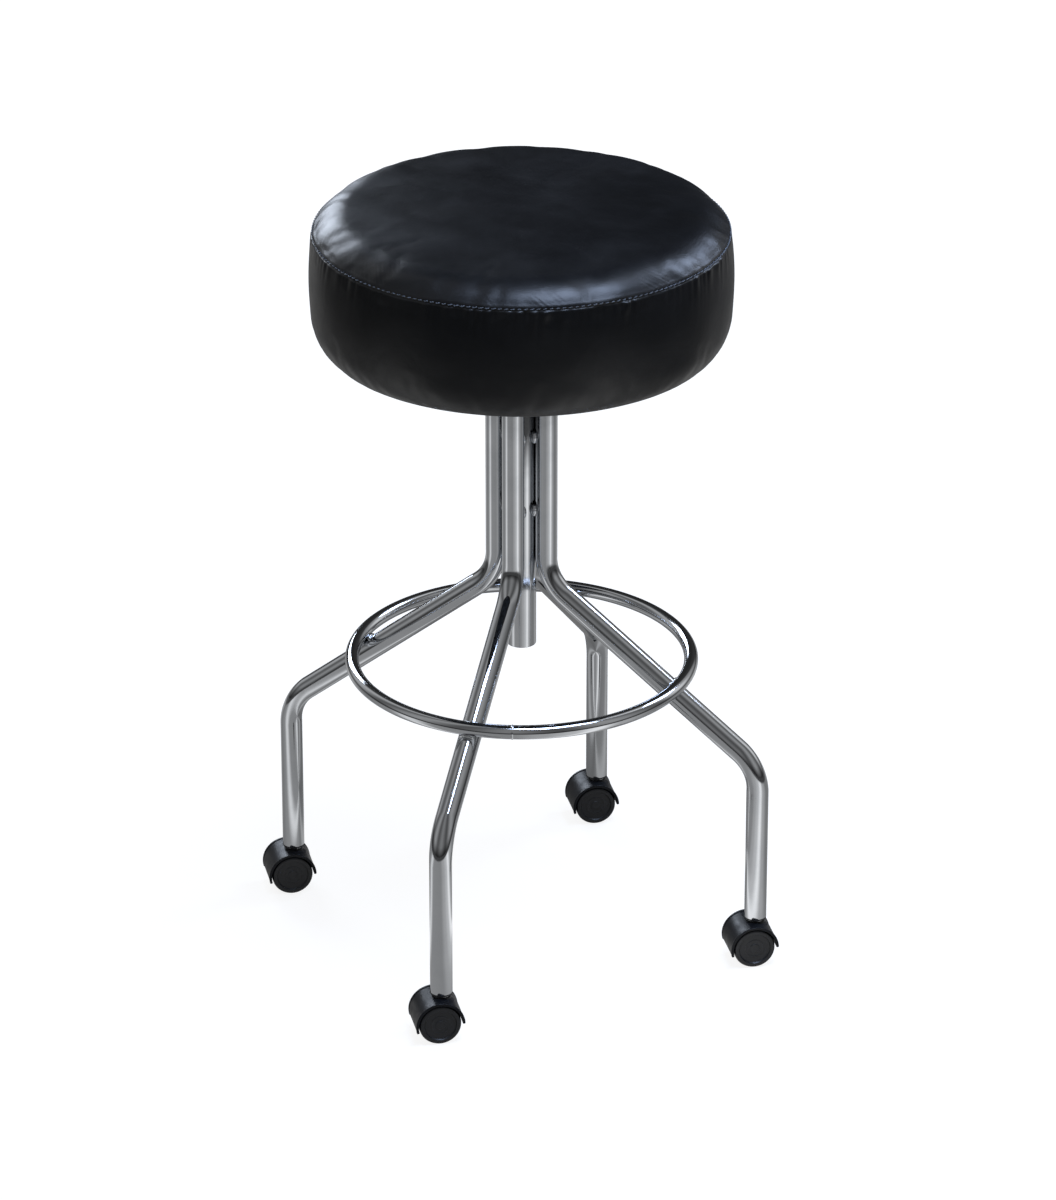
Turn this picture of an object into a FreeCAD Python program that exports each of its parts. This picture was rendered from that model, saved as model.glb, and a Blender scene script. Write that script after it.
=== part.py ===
import FreeCAD, Part
import math
import os
import re
import Sketcher

# Round medical stool: a padded seat on a screw spindle, four bent chrome legs round a hub tube,
# a foot ring on the legs' slopes, and a twin-wheel caster under each leg.
# Millimetres, +Z up. The origin is on the floor, on the spindle's axis. The front leg points along -Y.

SIZES = {
    # Legs: each runs down beside the hub tube, slopes outwards and turns down to its caster.
    "leg_tube_dia": 19.0,
    "leg_tube_wall": 1.5,
    "leg_top_drop": 6.0,
    "upper_bend_height": 333.5,
    "lower_bend_height": 184.0,
    "bend_radius": 45.0,
    "foot_radius": 212.0,
    "plug_depth": 8.0,
    "plug_head": 2.0,
    "plug_chamfer": 0.8,
    # Hub tube in the middle, which holds the nut and the screw.
    "hub_tube_dia": 25.0,
    "hub_tube_wall": 1.5,
    "hub_tube_bottom": 270.5,
    "hub_tube_length": 234.5,
    "end_plug_length": 7.0,
    # Foot ring, a round bar that lies on the legs.
    "foot_ring_radius": 145.0,
    "foot_ring_bar": 12.0,
    # Welds: the gap between two welded pieces, the gap round the beads, and the beads.
    "weld_gap": 0.05,
    "bead_gap": 0.3,
    "ring_bead_radius": 3.2,
    "ring_bead_half_length": 4.0,
    "ring_bead_reach": 4.4,
    "tack_radius": 3.0,
    "tack_half_height": 3.0,
    "tack_side": 5.0,
    "tack_low_drop": 100.5,
    "tack_high_drop": 33.5,
    # Screw spindle with a single-start trapezoidal thread, and its nut.
    "spindle_dia": 18.0,
    "thread_pitch": 5.0,
    "thread_depth": 1.8,
    "thread_crest": 2.0,
    "thread_flank": 0.5,
    "thread_clearance": 0.3,
    "thread_overrun": 0.5,
    "nut_length": 30.0,
    "nut_flange": 4.0,
    "seat_rise": 125.0,
    "seat_drop": 25.0,
    "stop_gap": 0.5,
    # Guide sleeve under the spindle, with its shoulder bolt and washer.
    "guide_length": 16.0,
    "guide_clearance": 0.15,
    "running_clearance": 0.05,
    "end_gap": 0.3,
    "shoulder_dia": 10.0,
    "bolt_thread_dia": 8.0,
    "bolt_thread_length": 20.0,
    "bolt_head_flats": 13.0,
    "bolt_head_height": 5.3,
    "washer_dia": 19.0,
    "washer_thickness": 1.6,
    "press_gap": 0.02,
    # Seat, measured up from the underside of its cover.
    "seat_bottom": 550.0,
    "seat_dia": 354.0,
    "cover_thickness": 1.2,
    "cover_gap": 0.3,
    "hem_dia": 276.0,
    "hem_flat_dia": 324.0,
    "side_low_height": 25.0,
    "side_low_inset": 2.0,
    "side_low_bulge": 2.7,
    "side_bulge": 2.2,
    "seam_height": 98.0,
    "seam_inset": 3.0,
    "roll_inset": 34.0,
    "roll_height": 18.0,
    "roll_bulge": 4.2,
    "crown_height": 4.0,
    "crown_flat_dia": 60.0,
    "board_dia": 310.0,
    "board_thickness": 12.0,
    "dust_cover_dia": 300.0,
    "dust_cover_thickness": 0.8,
    # Plate under the seat, its weld, its screws and the tee nuts in the board.
    "plate_dia": 150.0,
    "plate_thickness": 3.0,
    "plate_weld_leg": 4.0,
    "screw_circle_dia": 110.0,
    "screw_dia": 6.0,
    "screw_hole_clearance": 0.25,
    "screw_head_dia": 11.0,
    "screw_head_height": 3.6,
    "tee_nut_dia": 8.0,
    "tee_nut_length": 9.0,
    "tee_flange_dia": 18.0,
    "tee_flange_thickness": 1.4,
    # Casters: hooded twin wheels on a swivel stem.
    "wheel_dia": 36.0,
    "wheel_width": 10.6,
    "wheel_edge": 1.2,
    "wheel_dish_dia": 26.4,
    "wheel_dish_depth": 1.5,
    "wheel_face_wall": 1.4,
    "wheel_side_gap": 0.6,
    "axle_dia": 5.0,
    "axle_boss_dia": 12.0,
    "caster_trail": 4.0,
    "caster_heading": 30.5,
    "web_width": 12.0,
    "hood_wall": 1.8,
    "hood_gap": 0.8,
    "hood_overhang": 0.8,
    "hood_wrap": 196.0,
    "hood_edge_round": 0.8,
    "neck_dia": 16.5,
    "neck_rise": 0.6,
    "stem_dia": 8.0,
    "stem_length": 34.0,
    "stem_floor": 1.5,
    "collar_dia": 15.0,
    "collar_thickness": 1.2,
    "swivel_gap": 0.3,
    "socket_flange": 1.5,
    "socket_length": 36.0,
    "grip_ring_wire": 1.4,
    "grip_ring_drop": 6.0,
    "grip_ring_seat": 0.85,
    "grip_ring_room": 0.25,
}

DERIVED = {
    "leg_radius": "leg_tube_dia / 2",
    "leg_bore": "leg_radius - leg_tube_wall",
    "hub_radius": "hub_tube_dia / 2",
    "hub_bore": "hub_radius - hub_tube_wall",
    "hub_tube_top": "hub_tube_bottom + hub_tube_length",
    "leg_offset": "hub_radius + leg_radius + weld_gap",
    "leg_top": "hub_tube_top - leg_top_drop",
    "leg_run": "foot_radius - leg_offset",
    "leg_fall": "upper_bend_height - lower_bend_height",
    "leg_slant": "sqrt(leg_run ^ 2 + leg_fall ^ 2)",
    "bend_tangent": "bend_radius * (leg_slant - leg_fall) / leg_run",
    "bend_sagitta": "bend_radius * (1 - sqrt((1 + leg_fall / leg_slant) / 2))",
    "bend_along": "bend_tangent * leg_run / leg_slant",
    "bend_down": "bend_tangent * leg_fall / leg_slant",
    "ring_bar_radius": "foot_ring_bar / 2",
    "ring_stand_off": "leg_radius + ring_bar_radius + weld_gap",
    "ring_height": "upper_bend_height"
                   " + (ring_stand_off * leg_slant - (foot_ring_radius - leg_offset) * leg_fall) / leg_run",
    "ring_touch_radius": "foot_ring_radius - ring_bar_radius * leg_fall / leg_slant",
    "ring_touch_height": "ring_height - ring_bar_radius * leg_run / leg_slant",
    "spindle_radius": "spindle_dia / 2",
    "thread_root": "spindle_radius - thread_depth",
    "thread_slope": "thread_flank / thread_depth",
    "groove_half": "(thread_pitch - thread_crest) / 2",
    "nut_bore": "thread_root + thread_clearance",
    "nut_bottom": "hub_tube_top - nut_length",
    "nut_top": "hub_tube_top + nut_flange",
    "spindle_top": "seat_bottom - dust_cover_thickness - plate_thickness",
    "thread_top": "nut_top + seat_drop + stop_gap + groove_half",
    "guide_top": "nut_bottom - seat_rise - stop_gap",
    "guide_bottom": "guide_top - guide_length",
    "spindle_bottom": "guide_top + end_gap",
    "thread_start": "spindle_bottom - thread_pitch",
    "nut_thread_start": "thread_start + thread_pitch / 2"
                        " + thread_pitch * (floor((nut_bottom - thread_start) / thread_pitch) - 1)",
    "washer_top": "guide_bottom - end_gap",
    "bolt_head_top": "washer_top - washer_thickness",
    "seat_radius": "seat_dia / 2",
    "hem_radius": "hem_dia / 2",
    "hem_flat_radius": "hem_flat_dia / 2",
    "side_low_radius": "seat_radius - side_low_inset",
    "seam_radius": "seat_radius - seam_inset",
    "roll_radius": "seat_radius - roll_inset",
    "roll_top": "seam_height + roll_height",
    "seat_top": "roll_top + crown_height",
    "crown_flat_radius": "crown_flat_dia / 2",
    "foam_inset": "cover_thickness + cover_gap",
    "board_top": "cover_thickness + board_thickness",
    "foam_low_radius": "hem_flat_radius - foam_inset"
                       " + (side_low_radius - hem_flat_radius) * board_top / side_low_height",
    "screw_circle": "screw_circle_dia / 2",
    "screw_hole_radius": "screw_dia / 2 + screw_hole_clearance",
    "axle_height": "wheel_dia / 2",
    "axle_radius": "axle_dia / 2",
    "hood_bore": "wheel_dia / 2 + hood_gap",
    "hood_radius": "hood_bore + hood_wall",
    "wheel_inner_face": "web_width / 2 + wheel_side_gap",
    "axle_half": "wheel_inner_face + wheel_width - wheel_dish_depth - wheel_face_wall - end_gap",
    "hood_width": "2 * (wheel_inner_face + wheel_width + hood_overhang)",
    "neck_top": "axle_height + hood_radius + neck_rise",
    "stem_radius": "stem_dia / 2",
    "stem_bottom": "axle_height + axle_radius + stem_floor",
    "stem_top": "collar_top + stem_length",
    "collar_top": "neck_top + collar_thickness",
    "socket_bottom": "collar_top + swivel_gap",
    "leg_bottom": "socket_bottom + socket_flange",
    "wire_radius": "grip_ring_wire / 2",
    "grip_ring_height": "stem_top - grip_ring_drop",
    "grip_ring_radius": "stem_radius - grip_ring_seat + wire_radius",
    "grip_room_radius": "grip_ring_radius + wire_radius + grip_ring_room",
    "grip_room_half": "wire_radius + 2 * grip_ring_room",
}

LEGS = {"right": 0, "back": 90, "left": 180, "front": 270}
Z_AXIS = FreeCAD.Vector(0, 0, 1)
ALONG_MINUS_Y = FreeCAD.Rotation(FreeCAD.Vector(1, 0, 0), 90)
ALONG_PLUS_Y = FreeCAD.Rotation(FreeCAD.Vector(1, 0, 0), -90)

doc = FreeCAD.newDocument("medical_stool")
sheet = doc.addObject("Spreadsheet::Sheet", "dims")
for row, (size, number) in enumerate(SIZES.items(), 1):
    sheet.set(f"A{row}", size)
    sheet.set(f"B{row}", str(number))
    sheet.setAlias(f"B{row}", size)
doc.recompute()

parts = []


def expand(text):
    """An expression on the sheet's cells, with each derived name written out."""

    def spell(match):
        word = match.group()
        if word in SIZES:
            return "dims." + word
        if word in DERIVED:
            return "(" + expand(DERIVED[word]) + ")"
        return word

    return re.sub(r"[a-z][a-z_]*", spell, text)


def value(text):
    return float(sheet.evalExpression(expand(text)))


def bind(piece, bindings):
    for name, text in bindings.items():
        piece.setExpression(name, expand(text))


def keep(piece, label):
    """Name a finished sub-part, which gets a file of its own."""
    piece.Label = label
    parts.append(piece)
    return piece


# Sketched bodies

def new_body(name):
    return doc.addObject("PartDesign::Body", name)


def new_sketch(body, name, plane):
    sketch = body.newObject("Sketcher::SketchObject", name)
    support = next(item for item in body.Origin.OriginFeatures if item.Role == plane)
    sketch.AttachmentSupport = [(support, "")]
    sketch.MapMode = "FlatFace"
    return sketch


def pin_point(sketch, geometry, end, x, y):
    """Hold a point of a sketch at x, y."""
    for kind, text in (("DistanceX", x), ("DistanceY", y)):
        constraint = sketch.addConstraint(Sketcher.Constraint(kind, geometry, end, value(text)))
        sketch.setExpression(f"Constraints[{constraint}]", expand(text))


def draw(body, name, plane, steps, closed=True):
    """A sketch through the steps' points. A step's third entry makes it an arc with that sagitta,
    which bulges to the right of the way the outline runs."""
    sketch = new_sketch(body, name, plane)
    corners = [FreeCAD.Vector(value(step[0]), value(step[1]), 0) for step in steps]
    first = 0 if closed else 1
    ends = []
    for number in range(first, len(steps)):
        start, stop, step = corners[number - 1], corners[number], steps[number]
        if len(step) == 2:
            edge = sketch.addGeometry(Part.LineSegment(start, stop))
        else:
            before = steps[number - 1]
            chord = f"sqrt(({step[0]} - ({before[0]})) ^ 2 + ({step[1]} - ({before[1]})) ^ 2)"
            via = (
                f"({step[0]} + {before[0]}) / 2 + ({step[2]}) * ({step[1]} - ({before[1]})) / {chord}",
                f"({step[1]} + {before[1]}) / 2 - ({step[2]}) * ({step[0]} - ({before[0]})) / {chord}",
            )
            middle = FreeCAD.Vector(value(via[0]), value(via[1]), 0)
            edge = sketch.addGeometry(Part.Arc(start, middle, stop))
            mark = sketch.addGeometry(Part.Point(middle), True)
            pin_point(sketch, mark, 1, *via)
            sketch.addConstraint(Sketcher.Constraint("PointOnObject", mark, 1, edge))
        forward = (sketch.getPoint(edge, 1) - start).Length < (sketch.getPoint(edge, 2) - start).Length
        ends.append((edge, 1, 2) if forward else (edge, 2, 1))
    for number, (edge, begin, end) in enumerate(ends):
        pin_point(sketch, edge, end, *steps[number + first][:2])
        if number or closed:
            before = ends[number - 1]
            sketch.addConstraint(Sketcher.Constraint("Coincident", before[0], before[2], edge, begin))
        else:
            pin_point(sketch, edge, begin, *steps[0][:2])
    return sketch


def turned(name, steps):
    """A body turned round the Z axis from an outline of radius and height."""
    body = new_body(name)
    outline = draw(body, name + "_outline", "XZ_Plane", steps)
    turn = body.newObject("PartDesign::Revolution", name + "_turn")
    turn.Profile = outline
    turn.ReferenceAxis = (outline, ["V_Axis"])
    turn.Angle = 360
    return body


def threaded(body, name, steps, length):
    """Cut a screw thread into a turned body: a groove's outline that climbs round the axis."""
    outline = draw(body, name + "_thread_outline", "XZ_Plane", steps)
    doc.recompute()
    before = body.Shape.Volume
    thread = body.newObject("PartDesign::SubtractiveHelix", name + "_thread")
    thread.Profile = outline
    thread.ReferenceAxis = (outline, ["V_Axis"])
    bind(thread, {"Pitch": "thread_pitch", "Height": length})
    doc.recompute()
    if not body.Shape.Volume < before:
        raise ValueError(name + " has no thread")


# Primitives and booleans

def solid(kind, name, sizes, x="0", y="0", z="0", rotation=None):
    piece = doc.addObject("Part::" + kind, name)
    bind(piece, sizes)
    if rotation:
        piece.Placement = FreeCAD.Placement(FreeCAD.Vector(), rotation)
    bind(piece, {"Placement.Base.x": x, "Placement.Base.y": y, "Placement.Base.z": z})
    return piece


def cylinder(name, radius, height, x="0", y="0", z="0", rotation=None):
    return solid("Cylinder", name, {"Radius": radius, "Height": height}, x, y, z, rotation)


def cut(name, base, tool):
    piece = doc.addObject("Part::Cut", name)
    piece.Base = base
    piece.Tool = tool
    return piece


def fuse(name, pieces):
    piece = doc.addObject("Part::MultiFuse", name)
    piece.Shapes = pieces
    return piece


def group(name, pieces):
    """Separate alike solids that share one node."""
    piece = doc.addObject("Part::Compound", name)
    piece.Links = pieces
    return piece


def spin(piece, angle):
    """Turn a finished piece round the stool's axis."""
    piece.Placement = FreeCAD.Placement(FreeCAD.Vector(), FreeCAD.Rotation(Z_AXIS, angle))
    return piece


# Frame

def bead(name, radius, half, middle, rotation=None):
    """A weld bead: a short round rod with ball ends, half its length each way from its middle."""
    start = [f"{spot} - {reach}" for spot, reach in zip(middle, half)]
    stop = [f"{spot} + {reach}" for spot, reach in zip(middle, half)]
    length = "2 * (" + " + ".join(half) + ")"
    rod = cylinder(name + "_rod", radius, length, *start, rotation)
    balls = [
        solid("Sphere", f"{name}_ball_{mark}", {"Radius": radius}, *end)
        for mark, end in (("a", start), ("b", stop))
    ]
    return fuse(name, [rod] + balls)


def trimmed(rod, room):
    """A bead without the room that the welded pieces take."""
    rest = cut(rod.Name + "_trimmed", rod, room)
    doc.recompute()
    if not 0 < rest.Shape.Volume < rod.Shape.Volume:
        raise ValueError(rod.Label + " is not trimmed")
    return rest


def leg(side, angle):
    body = new_body("leg_" + side)
    path = draw(body, f"leg_{side}_path", "XZ_Plane", [
        ("leg_offset", "leg_top"),
        ("leg_offset", "upper_bend_height + bend_tangent"),
        ("leg_offset + bend_along", "upper_bend_height - bend_down", "bend_sagitta"),
        ("foot_radius - bend_along", "lower_bend_height + bend_down"),
        ("foot_radius", "lower_bend_height - bend_tangent", "-bend_sagitta"),
        ("foot_radius", "leg_bottom"),
    ], closed=False)
    section = new_sketch(body, f"leg_{side}_section", "XY_Plane")
    section.setExpression("AttachmentOffset.Base.z", expand("leg_top"))
    for radius in ("leg_radius", "leg_bore"):
        centre = FreeCAD.Vector(value("leg_offset"), 0, 0)
        edge = section.addGeometry(Part.Circle(centre, Z_AXIS, value(radius)))
        pin_point(section, edge, 3, "leg_offset", "0")
        constraint = section.addConstraint(Sketcher.Constraint("Radius", edge, value(radius)))
        section.setExpression(f"Constraints[{constraint}]", expand(radius))
    pipe = body.newObject("PartDesign::AdditivePipe", f"leg_{side}_pipe")
    pipe.Profile = section
    pipe.Spine = path
    return keep(spin(body, angle), "leg_" + side)


def hub_tube():
    tube = turned("hub_tube", [
        ("hub_bore", "hub_tube_bottom"),
        ("hub_radius", "hub_tube_bottom"),
        ("hub_radius", "hub_tube_top"),
        ("hub_bore", "hub_tube_top"),
    ])
    keep(tube, "hub_tube")
    plug = turned("hub_end_plug", [
        ("0", "hub_tube_bottom"),
        ("hub_bore - running_clearance", "hub_tube_bottom"),
        ("hub_bore - running_clearance", "hub_tube_bottom + end_plug_length"),
        ("0", "hub_tube_bottom + end_plug_length"),
    ])
    keep(plug, "hub_end_plug")


def leg_top_plugs():
    plugs = []
    for side, angle in LEGS.items():
        plug = turned(f"leg_top_plug_{side}", [
            ("0", "0"),
            ("leg_bore - running_clearance", "0"),
            ("leg_bore - running_clearance", "plug_depth"),
            ("leg_radius", "plug_depth"),
            ("leg_radius", "plug_depth + plug_head - plug_chamfer"),
            ("leg_radius - plug_chamfer", "plug_depth + plug_head"),
            ("0", "plug_depth + plug_head"),
        ])
        across, away = math.cos(math.radians(angle)), math.sin(math.radians(angle))
        bind(plug, {
            "Placement.Base.x": f"leg_offset * {across:.0f}",
            "Placement.Base.y": f"leg_offset * {away:.0f}",
            "Placement.Base.z": "leg_top - plug_depth",
        })
        plugs.append(plug)
    keep(group("leg_top_plugs", plugs), "leg_top_plugs")


def hoop(name, bar_radius):
    """A ring at the foot ring's place."""
    return solid("Torus", name, {"Radius1": "foot_ring_radius", "Radius2": bar_radius}, z="ring_height")


def foot_ring():
    keep(hoop("foot_ring", "ring_bar_radius"), "foot_ring")
    slope = FreeCAD.Rotation(Z_AXIS, FreeCAD.Vector(value("leg_run"), 0, -value("leg_fall")))
    leg_room = cylinder("slope_room", "leg_radius + bead_gap", "leg_slant",
                        "leg_offset", "0", "upper_bend_height", slope)
    ring_room = hoop("ring_room", "ring_bar_radius + bead_gap")
    room = fuse("ring_weld_room", [leg_room, ring_room])
    beads = []
    for side, angle in LEGS.items():
        for way, sign in (("outer", ""), ("inner", "-")):
            rod = bead(f"ring_bead_{side}_{way}", "ring_bead_radius", ("0", "ring_bead_half_length", "0"), (
                f"ring_touch_radius + {sign}ring_bead_reach * leg_run / leg_slant",
                "0",
                f"ring_touch_height - ({sign}ring_bead_reach) * leg_fall / leg_slant",
            ), ALONG_PLUS_Y)
            beads.append(spin(trimmed(rod, room), angle))
    keep(group("ring_welds", beads), "ring_welds")


def hub_welds():
    hub_room = cylinder("hub_room", "hub_radius + bead_gap", "hub_tube_length", z="hub_tube_bottom")
    leg_room = cylinder("upright_room", "leg_radius + bead_gap", "leg_top - upper_bend_height",
                        "leg_offset", "0", "upper_bend_height")
    room = fuse("hub_weld_room", [hub_room, leg_room])
    tacks = []
    for side, angle in LEGS.items():
        for height in ("low", "high"):
            for hand, sign in (("a", ""), ("b", "-")):
                name = f"hub_tack_{side}_{height}_{hand}"
                rod = bead(name, "tack_radius", ("0", "0", "tack_half_height"), (
                    "sqrt((hub_radius + tack_radius / 2) ^ 2 - tack_side ^ 2)",
                    sign + "tack_side",
                    f"leg_top - tack_{height}_drop",
                ))
                tacks.append(spin(trimmed(rod, room), angle))
    keep(group("hub_welds", tacks), "hub_welds")


# Screw

def spindle_nut():
    nut = turned("spindle_nut", [
        ("nut_bore", "nut_bottom"),
        ("hub_bore - running_clearance", "nut_bottom"),
        ("hub_bore - running_clearance", "hub_tube_top"),
        ("hub_radius", "hub_tube_top"),
        ("hub_radius", "nut_top"),
        ("nut_bore", "nut_top"),
    ])
    half = "thread_crest / 2 + thread_clearance"
    inner = half + " + (spindle_radius - nut_bore + thread_overrun) * thread_slope"
    outer = half + " - thread_clearance * thread_slope"
    threaded(nut, "spindle_nut", [
        ("nut_bore - thread_overrun", f"nut_thread_start - ({inner})"),
        ("spindle_radius + thread_clearance", f"nut_thread_start - ({outer})"),
        ("spindle_radius + thread_clearance", f"nut_thread_start + {outer}"),
        ("nut_bore - thread_overrun", f"nut_thread_start + {inner}"),
    ], "nut_top - nut_thread_start + thread_pitch")
    keep(nut, "spindle_nut")


def spindle():
    screw = turned("spindle", [
        ("bolt_thread_dia / 2 + running_clearance", "spindle_bottom"),
        ("thread_root", "spindle_bottom"),
        ("spindle_radius", "spindle_bottom + thread_depth"),
        ("spindle_radius", "spindle_top"),
        ("0", "spindle_top"),
        ("0", "spindle_bottom + bolt_thread_length + stop_gap"),
        ("bolt_thread_dia / 2 + running_clearance", "spindle_bottom + bolt_thread_length + stop_gap"),
    ])
    outer = "groove_half + thread_overrun * thread_slope"
    inner = "groove_half - thread_flank"
    threaded(screw, "spindle", [
        ("thread_root", f"thread_start - ({inner})"),
        ("spindle_radius + thread_overrun", f"thread_start - ({outer})"),
        ("spindle_radius + thread_overrun", f"thread_start + {outer}"),
        ("thread_root", f"thread_start + {inner}"),
    ], "thread_top - thread_start")
    keep(screw, "spindle")


def spindle_guide():
    guide = turned("spindle_guide", [
        ("shoulder_dia / 2 + running_clearance", "guide_bottom"),
        ("hub_bore - guide_clearance", "guide_bottom"),
        ("hub_bore - guide_clearance", "guide_top"),
        ("shoulder_dia / 2 + running_clearance", "guide_top"),
    ])
    keep(guide, "spindle_guide")
    washer = turned("guide_washer", [
        ("shoulder_dia / 2 + running_clearance", "bolt_head_top"),
        ("washer_dia / 2", "bolt_head_top"),
        ("washer_dia / 2", "washer_top"),
        ("shoulder_dia / 2 + running_clearance", "washer_top"),
    ])
    keep(washer, "guide_washer")
    head = solid("Prism", "guide_bolt_head", {
        "Circumradius": "bolt_head_flats / sqrt(3)",
        "Height": "bolt_head_height",
    }, z="bolt_head_top - bolt_head_height")
    head.Polygon = 6
    shoulder = cylinder("guide_bolt_shoulder", "shoulder_dia / 2", "spindle_bottom - bolt_head_top",
                        z="bolt_head_top")
    stud = cylinder("guide_bolt_stud", "bolt_thread_dia / 2", "bolt_thread_length", z="spindle_bottom")
    keep(fuse("guide_bolt", [head, shoulder, stud]), "guide_bolt")


# Seat

def seat_cover():
    band = turned("seat_side_band", [
        ("hem_radius", "0"),
        ("hem_flat_radius", "0"),
        ("side_low_radius", "side_low_height", "side_low_bulge"),
        ("seam_radius", "seam_height", "side_bulge"),
        ("seam_radius - cover_thickness", "seam_height"),
        ("side_low_radius - cover_thickness", "side_low_height", "-side_bulge"),
        ("hem_flat_radius", "cover_thickness", "-side_low_bulge"),
        ("hem_radius", "cover_thickness"),
    ])
    panel = turned("seat_top_panel", [
        ("seam_radius", "seam_height"),
        ("roll_radius", "roll_top", "roll_bulge"),
        ("crown_flat_radius", "seat_top", "crown_height / 4"),
        ("0", "seat_top"),
        ("0", "seat_top - cover_thickness"),
        ("crown_flat_radius", "seat_top - cover_thickness"),
        ("roll_radius", "roll_top - cover_thickness", "-crown_height / 4"),
        ("seam_radius - cover_thickness", "seam_height", "-roll_bulge"),
    ])
    for piece, label in ((band, "seat_side_band"), (panel, "seat_top_panel")):
        bind(piece, {"Placement.Base.z": "seat_bottom"})
        keep(piece, label)


def seat_foam():
    foam = turned("seat_foam", [
        ("0", "board_top"),
        ("foam_low_radius", "board_top"),
        ("side_low_radius - foam_inset", "side_low_height"),
        ("seam_radius - foam_inset", "seam_height - foam_inset", "side_bulge"),
        ("roll_radius - foam_inset", "roll_top - foam_inset", "roll_bulge"),
        ("crown_flat_radius", "seat_top - foam_inset", "crown_height / 4"),
        ("0", "seat_top - foam_inset"),
    ])
    bind(foam, {"Placement.Base.z": "seat_bottom"})
    keep(foam, "seat_foam")


def around_screws(make):
    """One piece at each of the plate's four screws."""
    spots = (("a", "", ""), ("b", "-", ""), ("c", "-", "-"), ("d", "", "-"))
    return [make(mark, f"{across}screw_circle / sqrt(2)", f"{away}screw_circle / sqrt(2)")
            for mark, across, away in spots]


def seat_base():
    def barrel(mark, x, y):
        return cylinder("board_hole_" + mark, "tee_nut_dia / 2 + running_clearance", "board_thickness",
                        x, y, "seat_bottom + cover_thickness")

    def recess(mark, x, y):
        return cylinder("board_recess_" + mark, "tee_flange_dia / 2 + running_clearance",
                        "tee_flange_thickness", x, y, "seat_bottom + board_top - tee_flange_thickness")

    def shank_hole(mark, x, y):
        return cylinder("shank_hole_" + mark, "screw_hole_radius", "dust_cover_thickness + plate_thickness",
                        x, y, "spindle_top")

    board = cylinder("board_disc", "board_dia / 2", "board_thickness", z="seat_bottom + cover_thickness")
    holes = fuse("board_holes", around_screws(barrel) + around_screws(recess))
    keep(cut("seat_board", board, holes), "seat_board")
    shanks = fuse("shank_holes", around_screws(shank_hole))
    cloth = cylinder("dust_cover_disc", "dust_cover_dia / 2", "dust_cover_thickness",
                     z="seat_bottom - dust_cover_thickness")
    keep(cut("dust_cover", cloth, shanks), "dust_cover")
    plate = cylinder("plate_disc", "plate_dia / 2", "plate_thickness", z="spindle_top")
    keep(cut("seat_plate", plate, shanks), "seat_plate")
    weld = turned("plate_weld", [
        ("spindle_radius + weld_gap", "spindle_top - plate_weld_leg"),
        ("spindle_radius + weld_gap + plate_weld_leg", "spindle_top"),
        ("spindle_radius + weld_gap", "spindle_top"),
    ])
    keep(weld, "plate_weld")


def seat_fasteners():
    def screw(mark, x, y):
        head = cylinder("screw_head_" + mark, "screw_head_dia / 2", "screw_head_height", x, y,
                        "spindle_top - screw_head_height")
        shank = cylinder("screw_shank_" + mark, "screw_dia / 2",
                         "dust_cover_thickness + plate_thickness + board_top", x, y, "spindle_top")
        return fuse("plate_screw_" + mark, [head, shank])

    def tee_nut(mark, x, y):
        barrel = cylinder("tee_barrel_" + mark, "tee_nut_dia / 2", "tee_nut_length", x, y,
                          "seat_bottom + board_top - tee_nut_length")
        flange = cylinder("tee_flange_" + mark, "tee_flange_dia / 2", "tee_flange_thickness", x, y,
                          "seat_bottom + board_top - tee_flange_thickness")
        bore = cylinder("tee_bore_" + mark, "screw_dia / 2 + running_clearance", "tee_nut_length", x, y,
                        "seat_bottom + board_top - tee_nut_length")
        return cut("tee_nut_" + mark, fuse("tee_body_" + mark, [barrel, flange]), bore)

    keep(group("plate_screws", around_screws(screw)), "plate_screws")
    keep(group("tee_nuts", around_screws(tee_nut)), "tee_nuts")


# Casters

def rim_edges(piece, radius, width):
    """The numbers of a hood's outer rim arcs, at both ends of its width."""
    found = []
    for number, edge in enumerate(piece.Shape.Edges, 1):
        on_rim = isinstance(edge.Curve, Part.Circle) and abs(edge.Curve.Radius - radius) < 0.01
        if on_rim and abs(abs(edge.CenterOfMass.y) - width / 2) < 0.01:
            found.append(number)
    return found


def hood(side):
    """The hood in its own frame: stem on the Z axis, axle along Y, behind the stem along -X."""
    name = f"caster_{side}_hood"

    def round_axle(ending, radius, half_width):
        """A drum round the axle, as wide on both sides of the stem."""
        return cylinder(name + ending, radius, f"2 * ({half_width})",
                        "-caster_trail", half_width, "axle_height", ALONG_MINUS_Y)

    shell = round_axle("_shell", "hood_radius", "hood_width / 2")
    web = round_axle("_web", "hood_bore + hood_wall / 2", "web_width / 2")
    for sector in (shell, web):
        bind(sector, {"Angle": "hood_wrap"})
    neck = cylinder(name + "_neck", "neck_dia / 2", "neck_top - axle_height", z="axle_height")
    wheel_room = round_axle("_wheel_room", "hood_bore", "hood_width")
    boss = round_axle("_boss", "axle_boss_dia / 2", "web_width / 2")
    axle_hole = round_axle("_axle_hole", "axle_radius + press_gap", "web_width")
    stem_hole = cylinder(name + "_stem_hole", "stem_radius + press_gap", "neck_top",
                         z="stem_bottom - press_gap")
    canopy = cut(name + "_canopy", fuse(name + "_outer", [shell, neck]), wheel_room)
    full = fuse(name + "_full", [canopy, web, boss])
    drilled = cut(name + "_drilled", full, fuse(name + "_holes", [axle_hole, stem_hole]))
    doc.recompute()
    rounded = doc.addObject("Part::Fillet", name)
    rounded.Base = drilled
    edge_round = min(value("hood_edge_round"), value("hood_wall") / 2)
    rims = rim_edges(drilled, value("hood_radius"), value("hood_width"))
    rounded.Edges = [(number, edge_round, edge_round) for number in rims]
    return rounded


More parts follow.
